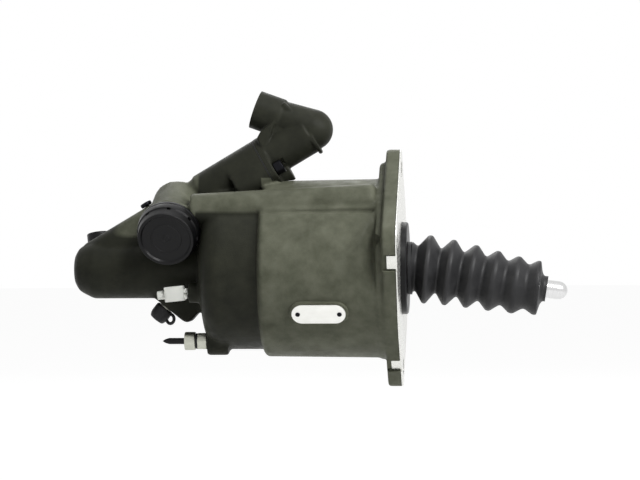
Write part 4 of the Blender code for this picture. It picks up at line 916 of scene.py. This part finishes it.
def casting_shapes():
    """Everything that the casting has beyond the turned air cylinder."""
    start = JOINT_AT - JOINT_BOSS_LENGTH
    exhaust = [
        (0, 0),
        (EXHAUST_COLLAR_R, 0),
        (EXHAUST_COLLAR_R, -EXHAUST_COLLAR_T),
        (EXHAUST_R, -EXHAUST_COLLAR_T - 1.6),
        (EXHAUST_R, -EXHAUST_LENGTH),
        (0, -EXHAUST_LENGTH),
    ]
    duct_length = (Vector(DUCT_FRONT) - Vector(DUCT_REAR)).length
    duct = [(0, 0)] + arc((DUCT_R - 4, -4), 4, 90, 0, 6) + [(DUCT_R, -duct_length), (0, -duct_length)]
    boss = frame_at((0, FITTING_Y, FITTING_BOSS_Z), (1, 0, 0))
    return [
        slab(flange_outline(), FLANGE_BACK, FLANGE_FRONT + 3, MAIN, edge=0.8),
        slab(flange_root(), FLANGE_BACK - ROOT_T, FLANGE_FRONT - 2, MAIN, edge=1.2),
        spin(nose_profile(), MAIN),
        rod(BARREL_R, BARREL_START, JOINT_AT + 3, VALVE, steps=ROUND),
        rod(CHANNEL_R, CHANNEL_START, BARREL_START + 8, VALVE, steps=ROUND),
        slab(joint_outline(), start, JOINT_AT + 3, VALVE),
        spin(exhaust, EXHAUST),
        spin(duct, DUCT),
        slab(lug_outline(), -LUG_HALF_T, LUG_HALF_T, SIDE, edge=1.4),
        slab(WEB_OUTLINE, -WEB_T / 2, WEB_T / 2, SIDE),
        rod(FITTING_BOSS_R, FITTING_BOSS_END, FITTING_BOSS_FRONT, boss),
        rod(PORT_BOSS_R, PORT_BOSS_END, BORE_END - 3, PORT),
        rod(REAR_BOSS_R, -REAR_BOSS_DEPTH, 0, REAR_PORT),
    ]


def bore_profile():
    """Everything that is bored from the front: cover seat, air cylinder, bush seat, hydraulic cylinder."""
    corner = arc((BORE_R - BORE_CORNER, BORE_END + BORE_CORNER), BORE_CORNER, 0, -90, 8)
    return (
        [(0, 3), (SEAT_R, 3), (SEAT_R, SEAT_FLOOR), (BORE_R, SEAT_FLOOR)]
        + corner
        + [(BUSH_SEAT_R, BORE_END), (BUSH_SEAT_R, BUSH_SEAT_END), (HYD_BORE_R, BUSH_SEAT_END)]
        + [(HYD_BORE_R, HYD_BORE_END), (HYD_BORE_R - 3, HYD_BORE_END - 2), (0, HYD_BORE_END - 2)]
    )


def casting_cuts():
    """What is machined after casting, with crisp edges."""
    valve = [
        (0, 6),
        (CHAMBER_R, 6),
        (CHAMBER_R, CHAMBER_END),
        (CONTROL_BORE_R, CHAMBER_END),
        (CONTROL_BORE_R, CONTROL_BORE_END),
        (0, CONTROL_BORE_END - 3),
    ]
    facing = 110.0
    cuts = [
        spin(bore_profile(), MAIN),
        slab(circle((0, 0), facing), FLANGE_FRONT, FLANGE_FRONT + 12, MAIN),
        spin(valve, VALVE, ROUND_FINE),
        block((*SCREW_FACE, 12), shifted(VALVE, y=6.75, z=JOINT_AT + 6)),
        rod(EXHAUST_BORE_R, -EXHAUST_BORE_DEPTH, 3, EXHAUST),
        rod(CAP_BACK_R + 0.6, GAP / 2, CAP_HEIGHT + 6, EXHAUST),
        rod(REAR_HEAD_R + 0.6, GAP / 2, 10, REAR_PORT),
        rod(HEX_R + 0.8, FITTING_BOSS_END - 6, FITTING_BOSS_END, FITTING),
        rod(FITTING_HOLE_R, FITTING_BOSS_END - 5, FITTING_HOLE_END, FITTING),
        rod(PORT_HOLE_R, PORT_BOSS_END - 5, PORT_HOLE_END, PORT, 24),
        rod(BLEED_HOLE_R, -BLEED_HOLE_DEPTH, 6, BLEED, 24),
        rod(REAR_HOLE_R, -REAR_BOSS_DEPTH, 4, REAR_PORT, 24),
        rod(KNOB_HOLE_R, -KNOB_DEPTH - 1, 4, KNOB, 24),
    ]
    cuts += [rod(BOLT_HOLE_R, FLANGE_BACK - 8, 8, place) for place in bolt_places()]
    for angle in TAB_ANGLES:
        notch = shifted(rim_frame(angle), y=(FLANGE_BACK + FLANGE_FRONT) / 2)
        cuts.append(block((NOTCH_WIDTH, FLANGE_T + 6, 2 * NOTCH_DEPTH), notch))
    for place in screw_places():
        cuts.append(rod(SCREW_R + GAP, JOINT_AT - SCREW_DEPTH - 2, JOINT_AT + 12, place, 24))
    for place in rivet_places():
        cuts.append(rod(RIVET_SHANK_R + GAP, PAD_RISE - RIVET_DEPTH - 0.5, PAD_RISE + 4, place, 16))
    return cuts


class SERVO_OT_housing(bpy.types.Operator):
    """Makes the main casting"""

    bl_idname = "servo.housing"
    bl_label = "Housing"

    def execute(self, context):
        sizes = context.scene.servo_sizes
        cylinder = as_object("cylinder", spin(body_profile(), MAIN))
        carve(cylinder, "DIFFERENCE", ledge_groove(), *[scallop(angle) for angle in SCALLOP_ANGLES])
        housing = as_object("housing_casting", *casting_shapes())
        take_in(housing, cylinder)
        cast_skin(housing, sizes.housing_voxel, sizes.fillet_passes)
        carve(housing, "UNION", slab(stadium(PAD_LENGTH, PAD_WIDTH), -6, PAD_RISE, PAD, edge=0.6))
        carve(housing, "DIFFERENCE", *casting_cuts())
        finish_piece(housing, "cast", "main_housing", sharp=50)
        return {"FINISHED"}


def take_in(made, other):
    """Adds the other object's faces to this one, and removes the other."""
    whole = bmesh.new()
    whole.from_mesh(made.data)
    whole.from_mesh(other.data)
    whole.to_mesh(made.data)
    whole.free()
    mesh = other.data
    bpy.data.objects.remove(other)
    bpy.data.meshes.remove(mesh)


def elbow_web_outlines(flange_top):
    """In X and Z: what fills the bend between the barrel and the flange, and the collar's skirt beside it."""
    shoulder = MOUTH_LENGTH - COLLAR_LENGTH
    step_top = PASSAGE @ Vector((0, -1, shoulder + 1.2))
    overhang = PASSAGE @ Vector((0, -COLLAR_R + 1, shoulder + WEB_OVERHANG))
    rim = VALVE @ Vector((0, BARREL_R - 1, flange_top))
    step_foot = VALVE @ Vector((0, 0, flange_top)) + Vector((-1.9, 0, 0))
    web = [TURN_POINT, PASSAGE @ Vector((0, PASSAGE_R - 1, shoulder)), overhang, rim, step_foot]
    skirt = [step_top, overhang, rim, step_foot]
    return [[(corner.x, corner.z) for corner in outline] for outline in (web, skirt)]


class SERVO_OT_elbow(bpy.types.Operator):
    """Makes the cast inlet elbow and its gasket"""

    bl_idname = "servo.elbow"
    bl_label = "Inlet elbow"

    def execute(self, context):
        sizes = context.scene.servo_sizes
        low = JOINT_AT + GASKET_T
        high = low + ELBOW_FLANGE_T
        shoulder = MOUTH_LENGTH - COLLAR_LENGTH
        outside = [
            (0, MOUTH_LENGTH + 2),
            (COLLAR_R, MOUTH_LENGTH + 2),
            (COLLAR_R, shoulder),
            (PASSAGE_R, shoulder - COLLAR_CHAMFER),
            (PASSAGE_ROOT_R, 0),
            (0, 0),
        ]
        web, skirt = elbow_web_outlines(high)
        elbow = as_object(
            "elbow_casting",
            slab(web, -WEB_HALF_T, WEB_HALF_T, SIDE, edge=1.0),
            slab(skirt, -SKIRT_HALF_T, SKIRT_HALF_T, SIDE, edge=1.2),
            slab(joint_outline(), low - 2, high, VALVE),
            rod(ELBOW_R, low + 1, ELBOW_TURN - 4, VALVE, steps=ROUND),
            rod(EAR_R - 0.6, low + 1, low + EAR_LENGTH, shifted(VALVE, y=-EAR_DROP)),
            rod(LIP_R, LIP_AT, LIP_AT + LIP_LENGTH, shifted(VALVE, y=-LIP_DROP), steps=ROUND),
            globe(ELBOW_NOSE_R, PASSAGE),
            spin(outside, PASSAGE),
        )
        cast_skin(elbow, sizes.elbow_voxel, sizes.fillet_passes)
        inside = [
            (0, MOUTH_LENGTH + 5),
            (MOUTH_BORE_R, MOUTH_LENGTH + 5),
            (MOUTH_BORE_R, MOUTH_LENGTH - MOUTH_BORE_DEPTH),
            (ELBOW_BORE_R, MOUTH_LENGTH - MOUTH_BORE_DEPTH - 1),
            (ELBOW_BORE_R, 0),
            (0, 0),
        ]
        cuts = [
            block((60, 60, 12), shifted(VALVE, z=low - 6)),
            block((60, 60, 12), shifted(PASSAGE, z=MOUTH_LENGTH + 6)),
            rod(ELBOW_BORE_R, low - 8, ELBOW_TURN, VALVE),
            globe(ELBOW_BORE_R, PASSAGE, ROUND_FINE),
            spin(inside, PASSAGE, ROUND_FINE),
            sleeve_clearance(),
        ]
        for place in screw_places():
            cuts.append(rod(SCREW_R + GAP, low - 3, high + 2, place, 24))
            cuts.append(rod(SCREW_HEAD_R + 0.6, high, high + 9, place))
        carve(elbow, "DIFFERENCE", *cuts)
        finish_piece(elbow, "elbow", "elbow", sharp=50)
        gasket = as_object("joint_gasket", slab(joint_outline(), JOINT_AT + 0.15, low - 0.15, VALVE))
        cuts = [rod(ELBOW_BORE_R, JOINT_AT - 3, low + 3, VALVE), sleeve_clearance()]
        cuts += [rod(SCREW_R + GAP, JOINT_AT - 3, low + 3, place, 24) for place in screw_places()]
        carve(gasket, "DIFFERENCE", *cuts)
        finish_piece(gasket, "rubber", "elbow_gasket")
        return {"FINISHED"}


class SERVO_OT_elbow_screws(bpy.types.Operator):
    """Makes the two socket-head screws of the elbow"""

    bl_idname = "servo.elbow_screws"
    bl_label = "Elbow screws"

    def execute(self, context):
        under_head = JOINT_AT + GASKET_T + ELBOW_FLANGE_T + GAP / 2
        top = under_head + SCREW_HEAD_H
        head = rounded(
            [(0, top), (SCREW_HEAD_R, top), (SCREW_HEAD_R, under_head), (SCREW_R, under_head)], 0.6
        )
        profile = head + [(SCREW_R, JOINT_AT - SCREW_DEPTH), (0, JOINT_AT - SCREW_DEPTH)]
        for number, place in enumerate(screw_places(), start=1):
            screw = as_object(f"socket_screw_{number}", spin(profile, place, 48))
            socket = rod(HEX_SOCKET_R, top - HEX_SOCKET_DEPTH, top + 2, place, 6)
            carve(screw, "DIFFERENCE", socket)
            finish_piece(screw, "black_steel", f"elbow_screw_{number}")
        return {"FINISHED"}


class SERVO_OT_front_plate(bpy.types.Operator):
    """Makes the bright plate with its folded tabs, and the front cover with its seal groove"""

    bl_idname = "servo.front_plate"
    bl_label = "Front plate and cover"

    def execute(self, context):
        reach = NOTCH_DEPTH - GAP
        plate = as_object("mounting_plate", slab(flange_outline(), -PLATE_T, 0, MAIN, edge=0.3))
        cuts = [rod(COVER_SPIGOT_R + GAP, -6, 6, MAIN, steps=ROUND)]
        cuts += [rod(BOLT_HOLE_R + 0.4, -6, 6, place) for place in bolt_places()]
        tabs = []
        for angle in TAB_ANGLES:
            rim = rim_frame(angle)
            cuts.append(block((NOTCH_WIDTH, 8, 2 * (reach - PLATE_T)), rim))
            fold = shifted(rim, y=-TAB_LENGTH / 2, z=-reach + PLATE_T / 2)
            tabs.append(block((TAB_WIDTH, TAB_LENGTH, PLATE_T), fold, edge=0.4))
        carve(plate, "DIFFERENCE", *cuts)
        carve(plate, "UNION", *tabs)
        finish_piece(plate, "bright_plate", "front_plate")
        back, outer = FLANGE_FRONT - COVER_T, SEAT_R - GAP
        profile = [
            (COVER_HOLE_R, COVER_PROUD),
            (COVER_SPIGOT_R - 0.8, COVER_PROUD),
            (COVER_SPIGOT_R, COVER_PROUD - 0.8),
            (COVER_SPIGOT_R, FLANGE_FRONT),
            (outer, FLANGE_FRONT),
            (outer, FLANGE_FRONT - 1.4),
            (outer - 2.2, FLANGE_FRONT - 1.4),
            (outer - 2.2, FLANGE_FRONT - 3.8),
            (outer, FLANGE_FRONT - 3.8),
            (outer, back),
            (COVER_HOLE_R, back),
        ]
        cover = as_object("cover_disc", spin(profile, MAIN, ring=True))
        finish_piece(cover, "black_plastic", "front_cover")
        return {"FINISHED"}


def boot_sag(x):
    """The drop of the bellows' centre line at x: it hangs a little before it meets the rod at the lip."""
    t = max(0.0, x - BOOT_BEND_START) / (BOOT_END - BOOT_BEND_START)
    at_lip = (BOOT_END - PIVOT_X) * math.tan(math.radians(ROD_DROOP))
    return -at_lip * t**BOOT_BEND - BOOT_HANG * math.sin(math.pi * min(1.0, t * t))


def boot_outer():
    """The outside of the folds, as (radius, x), with the rounded crests and sharper roots of a moulding."""
    bare = [(BOOT_BASE_R, BOOT_FOLDS_START), (BOOT_VALLEY_R, BOOT_FOLDS_START + 3.2)]
    for fold in range(BOOT_FOLDS):
        share = fold / (BOOT_FOLDS - 1)
        peak_r = BOOT_FIRST_PEAK_R + (BOOT_LAST_PEAK_R - BOOT_FIRST_PEAK_R) * share
        peak_x = BOOT_FIRST_PEAK_X + BOOT_FOLD_PITCH * fold
        bare += [(peak_r + 0.3, peak_x - 1.3), (peak_r + 0.3, peak_x + 1.3)]
        if fold < BOOT_FOLDS - 1:
            bare.append((BOOT_VALLEY_R - 0.3, peak_x + BOOT_FOLD_PITCH / 2))
    return bare + [(BOOT_LIP_R + 2.5, BOOT_END - 4), (BOOT_LIP_R, BOOT_END - 2.5), (BOOT_LIP_R, BOOT_END)]


def boot_folds():
    """The folds and the lip of the bellows, sagging with their centre line."""
    outer = rounded(boot_outer(), 2.2, steps=4)
    inner = [(max(r - BOOT_MOULD_WALL, ROD_R + 0.5), x) for r, x in outer]
    shape = spin(outer + inner[::-1], MAIN, steps=ROUND, ring=True)
    for vertex in shape.verts:
        x, height = vertex.co.x, vertex.co.z
        slope = boot_sag(x + 0.5) - boot_sag(x - 0.5)
        vertex.co.z = height + boot_sag(x)
        vertex.co.x = x - slope * height
    return shape


class SERVO_OT_bellows(bpy.types.Operator):
    """Makes the bellows: a collar that stays on the cover, and folds that ride with the rod"""

    bl_idname = "servo.bellows"
    bl_label = "Bellows"

    def execute(self, context):
        inner = BOOT_BASE_R - BOOT_COLLAR_WALL
        ring = [(BOOT_BASE_R, BOOT_START), (BOOT_BASE_R, BOOT_FOLDS_START), (inner, BOOT_FOLDS_START)]
        collar = as_object("bellows_collar", spin(ring + [(inner, BOOT_START)], MAIN, ring=True))
        finish_piece(collar, "rubber", "boot", sharp=60)
        folds = as_object("bellows_folds", boot_folds())
        finish_piece(folds, "rubber", "boot", "rod", sharp=60)
        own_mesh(folds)
        return {"FINISHED"}


class SERVO_OT_push_rod(bpy.types.Operator):
    """Makes the push rod with its ball and its domed end"""

    bl_idname = "servo.push_rod"
    bl_label = "Push rod"

    def execute(self, context):
        neck_start = math.sqrt(BALL_R**2 - ROD_NECK_R**2)
        ball = arc((0, 0), BALL_R, -90, math.degrees(math.atan2(neck_start, ROD_NECK_R)), 24)
        tip = arc((0, ROD_REACH - ROD_R), ROD_R, 0, 90, 12)
        profile = ball + [(ROD_NECK_R, 13.0), (ROD_R, 15.5)] + tip
        made = as_object("polished_rod", spin(profile, ROD))
        finish_piece(made, "chrome_rod", "push_rod", "rod")
        return {"FINISHED"}


class SERVO_OT_exhaust_cap(bpy.types.Operator):
    """Makes the silencer cap of the exhaust port"""

    bl_idname = "servo.exhaust_cap"
    bl_label = "Exhaust cap"

    def execute(self, context):
        top = GAP + CAP_HEIGHT
        spigot_r = EXHAUST_BORE_R - GAP
        roof = top - CAP_RECESS
        outside = [(0, roof)]
        for r in CAP_RINGS:
            for step, rise in ((0, 0), (0.3, CAP_RING_RISE), (0.9, CAP_RING_RISE), (1.2, 0)):
                outside.append((r + step, roof + rise))
        outside += [
            (CAP_FRONT_R - 3.2, roof),
            (CAP_FRONT_R - 1.9, top),
            (CAP_FRONT_R - 0.2, top),
            (CAP_FRONT_R + 0.2, top - 1.6),
            (CAP_FRONT_R + 0.9, GAP + 9.4),
            (CAP_BACK_R - 0.4, GAP + 8.8),
            (CAP_BACK_R, GAP + 3.4),
            (CAP_BACK_R - 0.7, GAP + 3.0),
            (CAP_BACK_R, GAP + 2.6),
            (CAP_BACK_R, GAP),
            (spigot_r, GAP),
        ]
        inside = [
            (spigot_r, -CAP_SPIGOT_DEPTH),
            (spigot_r - 2, -CAP_SPIGOT_DEPTH),
            (spigot_r - 2, GAP + 2.4),
            (CAP_FRONT_R - CAP_WALL, GAP + 2.4),
            (CAP_FRONT_R - CAP_WALL, roof - CAP_WALL),
            (0, roof - CAP_WALL),
        ]
        cap = as_object("silencer_cap", spin(rounded(outside, 0.5) + inside, EXHAUST))
        slots = []
        for number in range(SLOT_COUNT):
            turn = Matrix.Rotation(math.radians(SLOT_START + 360 * number / SLOT_COUNT), 4, "Z")
            place = EXHAUST @ turn @ Matrix.Translation((CAP_BACK_R, 0, GAP + SLOT_AT))
            slots.append(block((14.0, 3.0, 1.6), place, edge=0.3))
        carve(cap, "DIFFERENCE", *slots)
        finish_piece(cap, "black_plastic", "exhaust_cap")
        return {"FINISHED"}


class SERVO_OT_name_plate(bpy.types.Operator):
    """Makes the bare name plate and its rivets"""

    bl_idname = "servo.name_plate"
    bl_label = "Name plate"

    def execute(self, context):
        low = PAD_RISE + THIN_GAP
        high = low + LABEL_T
        sheet = slab(stadium(LABEL_LENGTH, LABEL_WIDTH), low, high, PAD, edge=0.2)
        plate = as_object("label_sheet", sheet)
        holes = [rod(RIVET_SHANK_R + 0.2, low - 3, high + 3, place, 24) for place in rivet_places()]
        carve(plate, "DIFFERENCE", *holes)
        finish_piece(plate, "label", "name_plate")
        under_head = high + THIN_GAP
        top = under_head + RIVET_HEAD_H
        head = [(0, top), (RIVET_HEAD_R * 0.6, top - 0.15), (RIVET_HEAD_R, under_head)]
        profile = rounded(head + [(RIVET_SHANK_R, under_head)], 0.4) + [
            (RIVET_SHANK_R, PAD_RISE - RIVET_DEPTH),
            (0, PAD_RISE - RIVET_DEPTH),
        ]
        for number, place in enumerate(rivet_places(), start=1):
            rivet = as_object(f"plate_rivet_{number}", spin(profile, place, 32))
            finish_piece(rivet, "black_steel", f"name_plate_rivet_{number}")
        return {"FINISHED"}


class SERVO_OT_plugs(bpy.types.Operator):
    """Makes the white port plug, the rear plug and the small plug of the cross drilling"""

    bl_idname = "servo.plugs"
    bl_label = "Plugs"

    def execute(self, context):
        place = shifted(PORT, z=PORT_BOSS_END - GAP) @ Matrix.Rotation(math.radians(PLUG_TILT), 4, "X")
        width, height, length = PLUG_BODY
        back = -length - 2 * GAP
        body = length - PRONG_LENGTH
        bar = block((width, height, body), shifted(place, z=back + body / 2), edge=0.8)
        plug = as_object("white_plug", bar)
        stem = rod(PLUG_STEM_R, -length - PLUG_STEM_LENGTH, -length + 1, place, 32, edge=0.6)
        spigot = rod(PORT_HOLE_R - 3 * GAP, -4, PLUG_SPIGOT_LENGTH, place, 24)
        prong = (width - 3, PRONG_HEIGHT, PRONG_LENGTH + 1)
        prongs = [block(prong, shifted(place, y=y, z=-PRONG_LENGTH / 2 - 1), edge=0.3) for y in PRONGS_AT]
        carve(plug, "UNION", stem, spigot, *prongs)
        finish_piece(plug, "nylon", "port_plug")
        shank_r = REAR_HOLE_R - GAP
        head = [(0, REAR_HEAD_H), (REAR_HEAD_R, REAR_HEAD_H), (REAR_HEAD_R, GAP), (shank_r, GAP)]
        shank = [(shank_r, -REAR_PLUG_DEPTH), (0, -REAR_PLUG_DEPTH)]
        rear = as_object("rear_plug", spin(rounded(head, 0.8) + shank, REAR_PORT, 64))
        slot = block((12.0, 1.6, 2.0), shifted(REAR_PORT, z=REAR_HEAD_H))
        carve(rear, "DIFFERENCE", slot)
        finish_piece(rear, "black_plastic", "rear_port_plug")
        knob = rounded([(0, KNOB_H), (KNOB_R, KNOB_H), (KNOB_R, GAP), (KNOB_HOLE_R - GAP, GAP)], 0.9)
        pin = [(KNOB_HOLE_R - GAP, -KNOB_DEPTH), (0, -KNOB_DEPTH)]
        small = as_object("small_plug", spin(knob + pin, KNOB, 48))
        finish_piece(small, "black_steel", "drilling_plug")
        return {"FINISHED"}


class SERVO_OT_bleed_cap(bpy.types.Operator):
    """Makes the bleed screw and its rubber cap with the loop strap"""

    bl_idname = "servo.bleed_cap"
    bl_label = "Bleed screw and cap"

    def execute(self, context):
        shank_r = BLEED_HOLE_R - GAP
        screw = [
            (0, BLEED_TOP),
            (BLEED_TIP_R - 1.2, BLEED_TOP),
            (BLEED_TIP_R, BLEED_TOP - 0.9),
            (BLEED_TIP_R, BLEED_TOP - 2.6),
            (BLEED_NECK_R, BLEED_TOP - 3.4),
            (BLEED_NECK_R, BLEED_HEX_TOP),
            (BLEED_HEX_R, BLEED_HEX_TOP),
            (BLEED_HEX_R, 2 * GAP),
            (shank_r, 2 * GAP),
            (shank_r, -10),
            (0, -12),
        ]
        made = as_object("bleed_nipple", spin(screw, BLEED, 32))
        finish_piece(made, "zinc", "bleed_screw")
        outside = [
            (0, BLEED_CAP_TOP),
            (BLEED_CAP_R - 1.4, BLEED_CAP_TOP),
            (BLEED_CAP_R, BLEED_CAP_TOP - 3.6),
            (BLEED_CAP_R, BLEED_CAP_LOW),
            (0, BLEED_CAP_LOW),
        ]
        cap = as_object("bleed_dust_cap", spin(rounded(outside, 1.6), BLEED, 64))
        strap = circle((LOOP_R, 0), LOOP_STRAP_R, 16)
        carve(cap, "UNION", spin(strap, frame_at(BLEED @ Vector(LOOP_AT), LOOP_DIRECTION), 48, ring=True))
        inside = [
            (0, BLEED_TOP + GAP),
            (BLEED_TIP_R + GAP, BLEED_TOP + GAP),
            (BLEED_TIP_R + GAP, BLEED_HEX_TOP + GAP),
            (BLEED_HEX_R + GAP, BLEED_HEX_TOP + GAP),
            (BLEED_HEX_R + GAP, BLEED_CAP_LOW - 2),
            (0, BLEED_CAP_LOW - 2),
        ]
        carve(cap, "DIFFERENCE", spin(inside, BLEED, 32))
        finish_piece(cap, "rubber", "bleed_cap")
        return {"FINISHED"}


class SERVO_OT_fitting(bpy.types.Operator):
    """Makes the small air fitting under the cylinder"""

    bl_idname = "servo.fitting"
    bl_label = "Air fitting"

    def execute(self, context):
        hex_front = FITTING_BOSS_END - GAP
        hex_back = hex_front - HEX_LENGTH
        sleeve_front = hex_back - RING_GAP
        sleeve_back = sleeve_front - RING_LENGTH
        edge_r = HEX_R - 0.1
        hexagon = slab(circle((0, 0), HEX_R, 6), hex_back, hex_front, FITTING, edge=0.4)
        body = as_object("fitting_hexagon", hexagon)
        chamfer = rounded([(0, hex_front), (edge_r, hex_front), (edge_r, hex_back), (0, hex_back)], 0.8)
        carve(body, "INTERSECT", spin(chamfer, FITTING, 48))
        stem = rod(FITTING_HOLE_R - GAP, hex_front - 1, FITTING_STEM_END, FITTING)
        carve(body, "UNION", stem, rod(TAIL_R, sleeve_back + 2, hex_back + 1, FITTING))
        finish_piece(body, "zinc", "fitting_body")
        outside = [
            (RING_BORE_R, sleeve_front),
            (RING_R, sleeve_front),
            (RING_R, sleeve_back),
            (RING_NECK_R, sleeve_back),
        ]
        sleeve = rounded(outside, 0.7) + [(RING_NECK_R, sleeve_back + 1.6), (RING_BORE_R, sleeve_back + 1.6)]
        made = as_object("fitting_collar", spin(sleeve, FITTING, 64, ring=True))
        finish_piece(made, "zinc", "fitting_sleeve")
        needle_end = sleeve_back - NEEDLE_LENGTH
        needle = [
            (0, sleeve_back + 1.6),
            (NEEDLE_R, sleeve_back + 1.6),
            (NEEDLE_R, needle_end),
            (NEEDLE_R * 0.6, needle_end - NEEDLE_POINT * 0.6),
            (0, needle_end - NEEDLE_POINT),
        ]
        plug = as_object("fitting_needle", spin(rounded(needle, 0.6), FITTING, 32))
        finish_piece(plug, "black_plastic", "fitting_plug")
        return {"FINISHED"}


def merged_copy(name, node):
    """A copy of a CAD node's mesh with its loose triangles merged."""
    made = bpy.data.objects.new(name, frame["nodes"][node].data.copy())
    bpy.context.scene.collection.objects.link(made)
    shape = bmesh.new()
    shape.from_mesh(made.data)
    bmesh.ops.remove_doubles(shape, verts=shape.verts, dist=1e-6)
    shape.to_mesh(made.data)
    shape.free()
    return made


class SERVO_OT_springs(bpy.types.Operator):
    """Makes the two springs from copies of their CAD meshes"""

    bl_idname = "servo.springs"
    bl_label = "Springs"

    def execute(self, context):
        spring = merged_copy("conical_spring", "pretension_spring")
        finish_piece(spring, "inner_steel", "pretension_spring", sharp=60)
        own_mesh(spring)
        small = merged_copy("poppet_spring", "valve_spring")
        finish_piece(small, "inner_steel", "valve_spring", sharp=60)
        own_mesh(small)
        return {"FINISHED"}


class SERVO_OT_inner_parts(bpy.types.Operator):
    """Gives the CAD parts that stay their finished materials"""

    bl_idname = "servo.inner_parts"
    bl_label = "Inner parts"

    def execute(self, context):
        slots = {part["node"]: part["material_slot"] for part in frame["record"]["subparts"]}
        for name, node in frame["nodes"].items():
            if node.hide_render:
                continue
            node.data.materials.clear()
            node.data.materials.append(MATERIALS[slots[name]])
        return {"FINISHED"}


def lamp(name, place, target, size, power):
    """A soft square lamp at place that looks at target, both in millimetres."""
    light = bpy.data.lights.new(name, "AREA")
    light.shape = "RECTANGLE"
    light.size, light.size_y = size[0] * MM, size[1] * MM
    light.energy = power
    made = bpy.data.objects.new(name, light)
    bpy.context.scene.collection.objects.link(made)
    made.location = Vector(place) * MM
    made.rotation_mode = "QUATERNION"
    made.rotation_quaternion = (Vector(target) - Vector(place)).to_track_quat("-Z", "Y")
    return made


def seen_white(tree):
    """1 for rays from the camera, in mirrors and through glass, and 0 for light that falls on the servo."""
    path = add_node(tree, "ShaderNodeLightPath").outputs
    direct = combined(tree, "MAXIMUM", path["Is Camera Ray"], path["Is Glossy Ray"])
    return combined(tree, "MAXIMUM", direct, path["Is Transmission Ray"])


class SERVO_OT_stage(bpy.types.Operator):
    """Makes the floor, the lamps, the plain world and the camera"""

    bl_idname = "servo.stage"
    bl_label = "Stage"

    def execute(self, context):
        settings = context.scene.servo_stage
        self.make_floor()
        self.make_world(settings)
        centre = (-90, 0, 10)
        lamp("key lamp", (500, -900, 1000), centre, (500, 400), settings.key_power)
        lamp("side lamp", (500, -350, 350), centre, (200, 200), settings.side_power)
        lamp("top lamp", (-90, -100, 1400), centre, (500, 500), settings.top_power)
        lamp("rear lamp", (-300, 1100, 900), centre, (800, 700), settings.rear_power)
        self.make_camera()
        context.scene.view_settings.view_transform = "Standard"
        return {"FINISHED"}

    def make_floor(self):
        floor = as_object("floor", slab(circle((0, 0), 9000), FLOOR_Z - 10, FLOOR_Z, Matrix.Identity(4)))
        material = bpy.data.materials.new("white paper")
        material.use_nodes = True
        tree = material.node_tree
        tree.nodes.clear()
        plain = add_node(tree, "ShaderNodeBsdfDiffuse", {"Color": (*linear("E8E8E8"), 1)})
        shade = add_node(tree, "ShaderNodeBsdfDiffuse", {"Color": (*linear("808080"), 1)})
        glow = add_node(tree, "ShaderNodeEmission", {"Color": (1, 1, 1, 1), "Strength": 0.95})
        lit = add_node(tree, "ShaderNodeAddShader", {0: shade.outputs[0], 1: glow.outputs[0]})
        sides = {"Fac": seen_white(tree), 1: plain.outputs[0], 2: lit.outputs[0]}
        mix = add_node(tree, "ShaderNodeMixShader", sides)
        add_node(tree, "ShaderNodeOutputMaterial", {"Surface": mix.outputs[0]})
        floor.data.materials.append(material)

    def make_world(self, settings):
        world = bpy.data.worlds.new("plain studio")
        bpy.context.scene.world = world
        world.use_nodes = True
        tree = world.node_tree
        tree.nodes.clear()
        levels = {"Value": seen_white(tree), "To Min": settings.world_level, "To Max": 1.0}
        strength = add_node(tree, "ShaderNodeMapRange", levels).outputs["Result"]
        light = add_node(tree, "ShaderNodeBackground", {"Color": (1, 1, 1, 1), "Strength": strength})
        add_node(tree, "ShaderNodeOutputWorld", {"Surface": light.outputs[0]})

    def make_camera(self):
        turn, roll = math.radians(CAMERA_TURN), math.radians(CAMERA_ROLL)
        back = Vector((math.sin(turn), -math.cos(turn), 0))
        right = (-back).cross(Vector((0, 0, 1))).normalized()
        up = right.cross(-back)
        level = Matrix((right, up, back)).transposed()
        data = bpy.data.cameras.new("camera")
        data.lens = CAMERA_LENS
        data.sensor_width = 36.0
        data.clip_end = 100.0
        made = bpy.data.objects.new("camera", data)
        bpy.context.scene.collection.objects.link(made)
        made.matrix_world = (level @ Matrix.Rotation(-roll, 3, "Z")).to_4x4()
        made.location = (Vector(CAMERA_TARGET) + back * CAMERA_DISTANCE) * MM
        bpy.context.scene.camera = made


class SERVO_PT_panel(bpy.types.Panel):
    """Lists the pieces in the sidebar"""

    bl_idname = "SERVO_PT_panel"
    bl_label = "Clutch Servo"
    bl_space_type = "VIEW_3D"
    bl_region_type = "UI"
    bl_category = "Clutch Servo"

    def draw(self, context):
        layout = self.layout
        for group in (context.scene.servo_colours, context.scene.servo_sizes, context.scene.servo_stage):
            for name in group.__annotations__:
                layout.prop(group, name)
        for operator in OPERATORS:
            layout.operator(operator.bl_idname)


OPERATORS = (
    SERVO_OT_housing,
    SERVO_OT_elbow,
    SERVO_OT_elbow_screws,
    SERVO_OT_front_plate,
    SERVO_OT_bellows,
    SERVO_OT_push_rod,
    SERVO_OT_exhaust_cap,
    SERVO_OT_name_plate,
    SERVO_OT_plugs,
    SERVO_OT_bleed_cap,
    SERVO_OT_fitting,
    SERVO_OT_springs,
    SERVO_OT_inner_parts,
    SERVO_OT_stage,
)
GROUPS = {"servo_colours": ServoColours, "servo_sizes": ServoSizes, "servo_stage": StageSettings}
MATERIALS = {}


def register():
    for item in (*GROUPS.values(), *OPERATORS, SERVO_PT_panel):
        bpy.utils.register_class(item)
    for name, group in GROUPS.items():
        setattr(bpy.types.Scene, name, PointerProperty(type=group))


def unregister():
    for name in GROUPS:
        delattr(bpy.types.Scene, name)
    for item in (SERVO_PT_panel, *reversed(OPERATORS), *GROUPS.values()):
        bpy.utils.unregister_class(item)


def main():
    register()
    MATERIALS.update(make_materials())
    for operator in OPERATORS:
        group, name = operator.bl_idname.split(".")
        getattr(getattr(bpy.ops, group), name)()


if __name__ == "__main__":
    main()
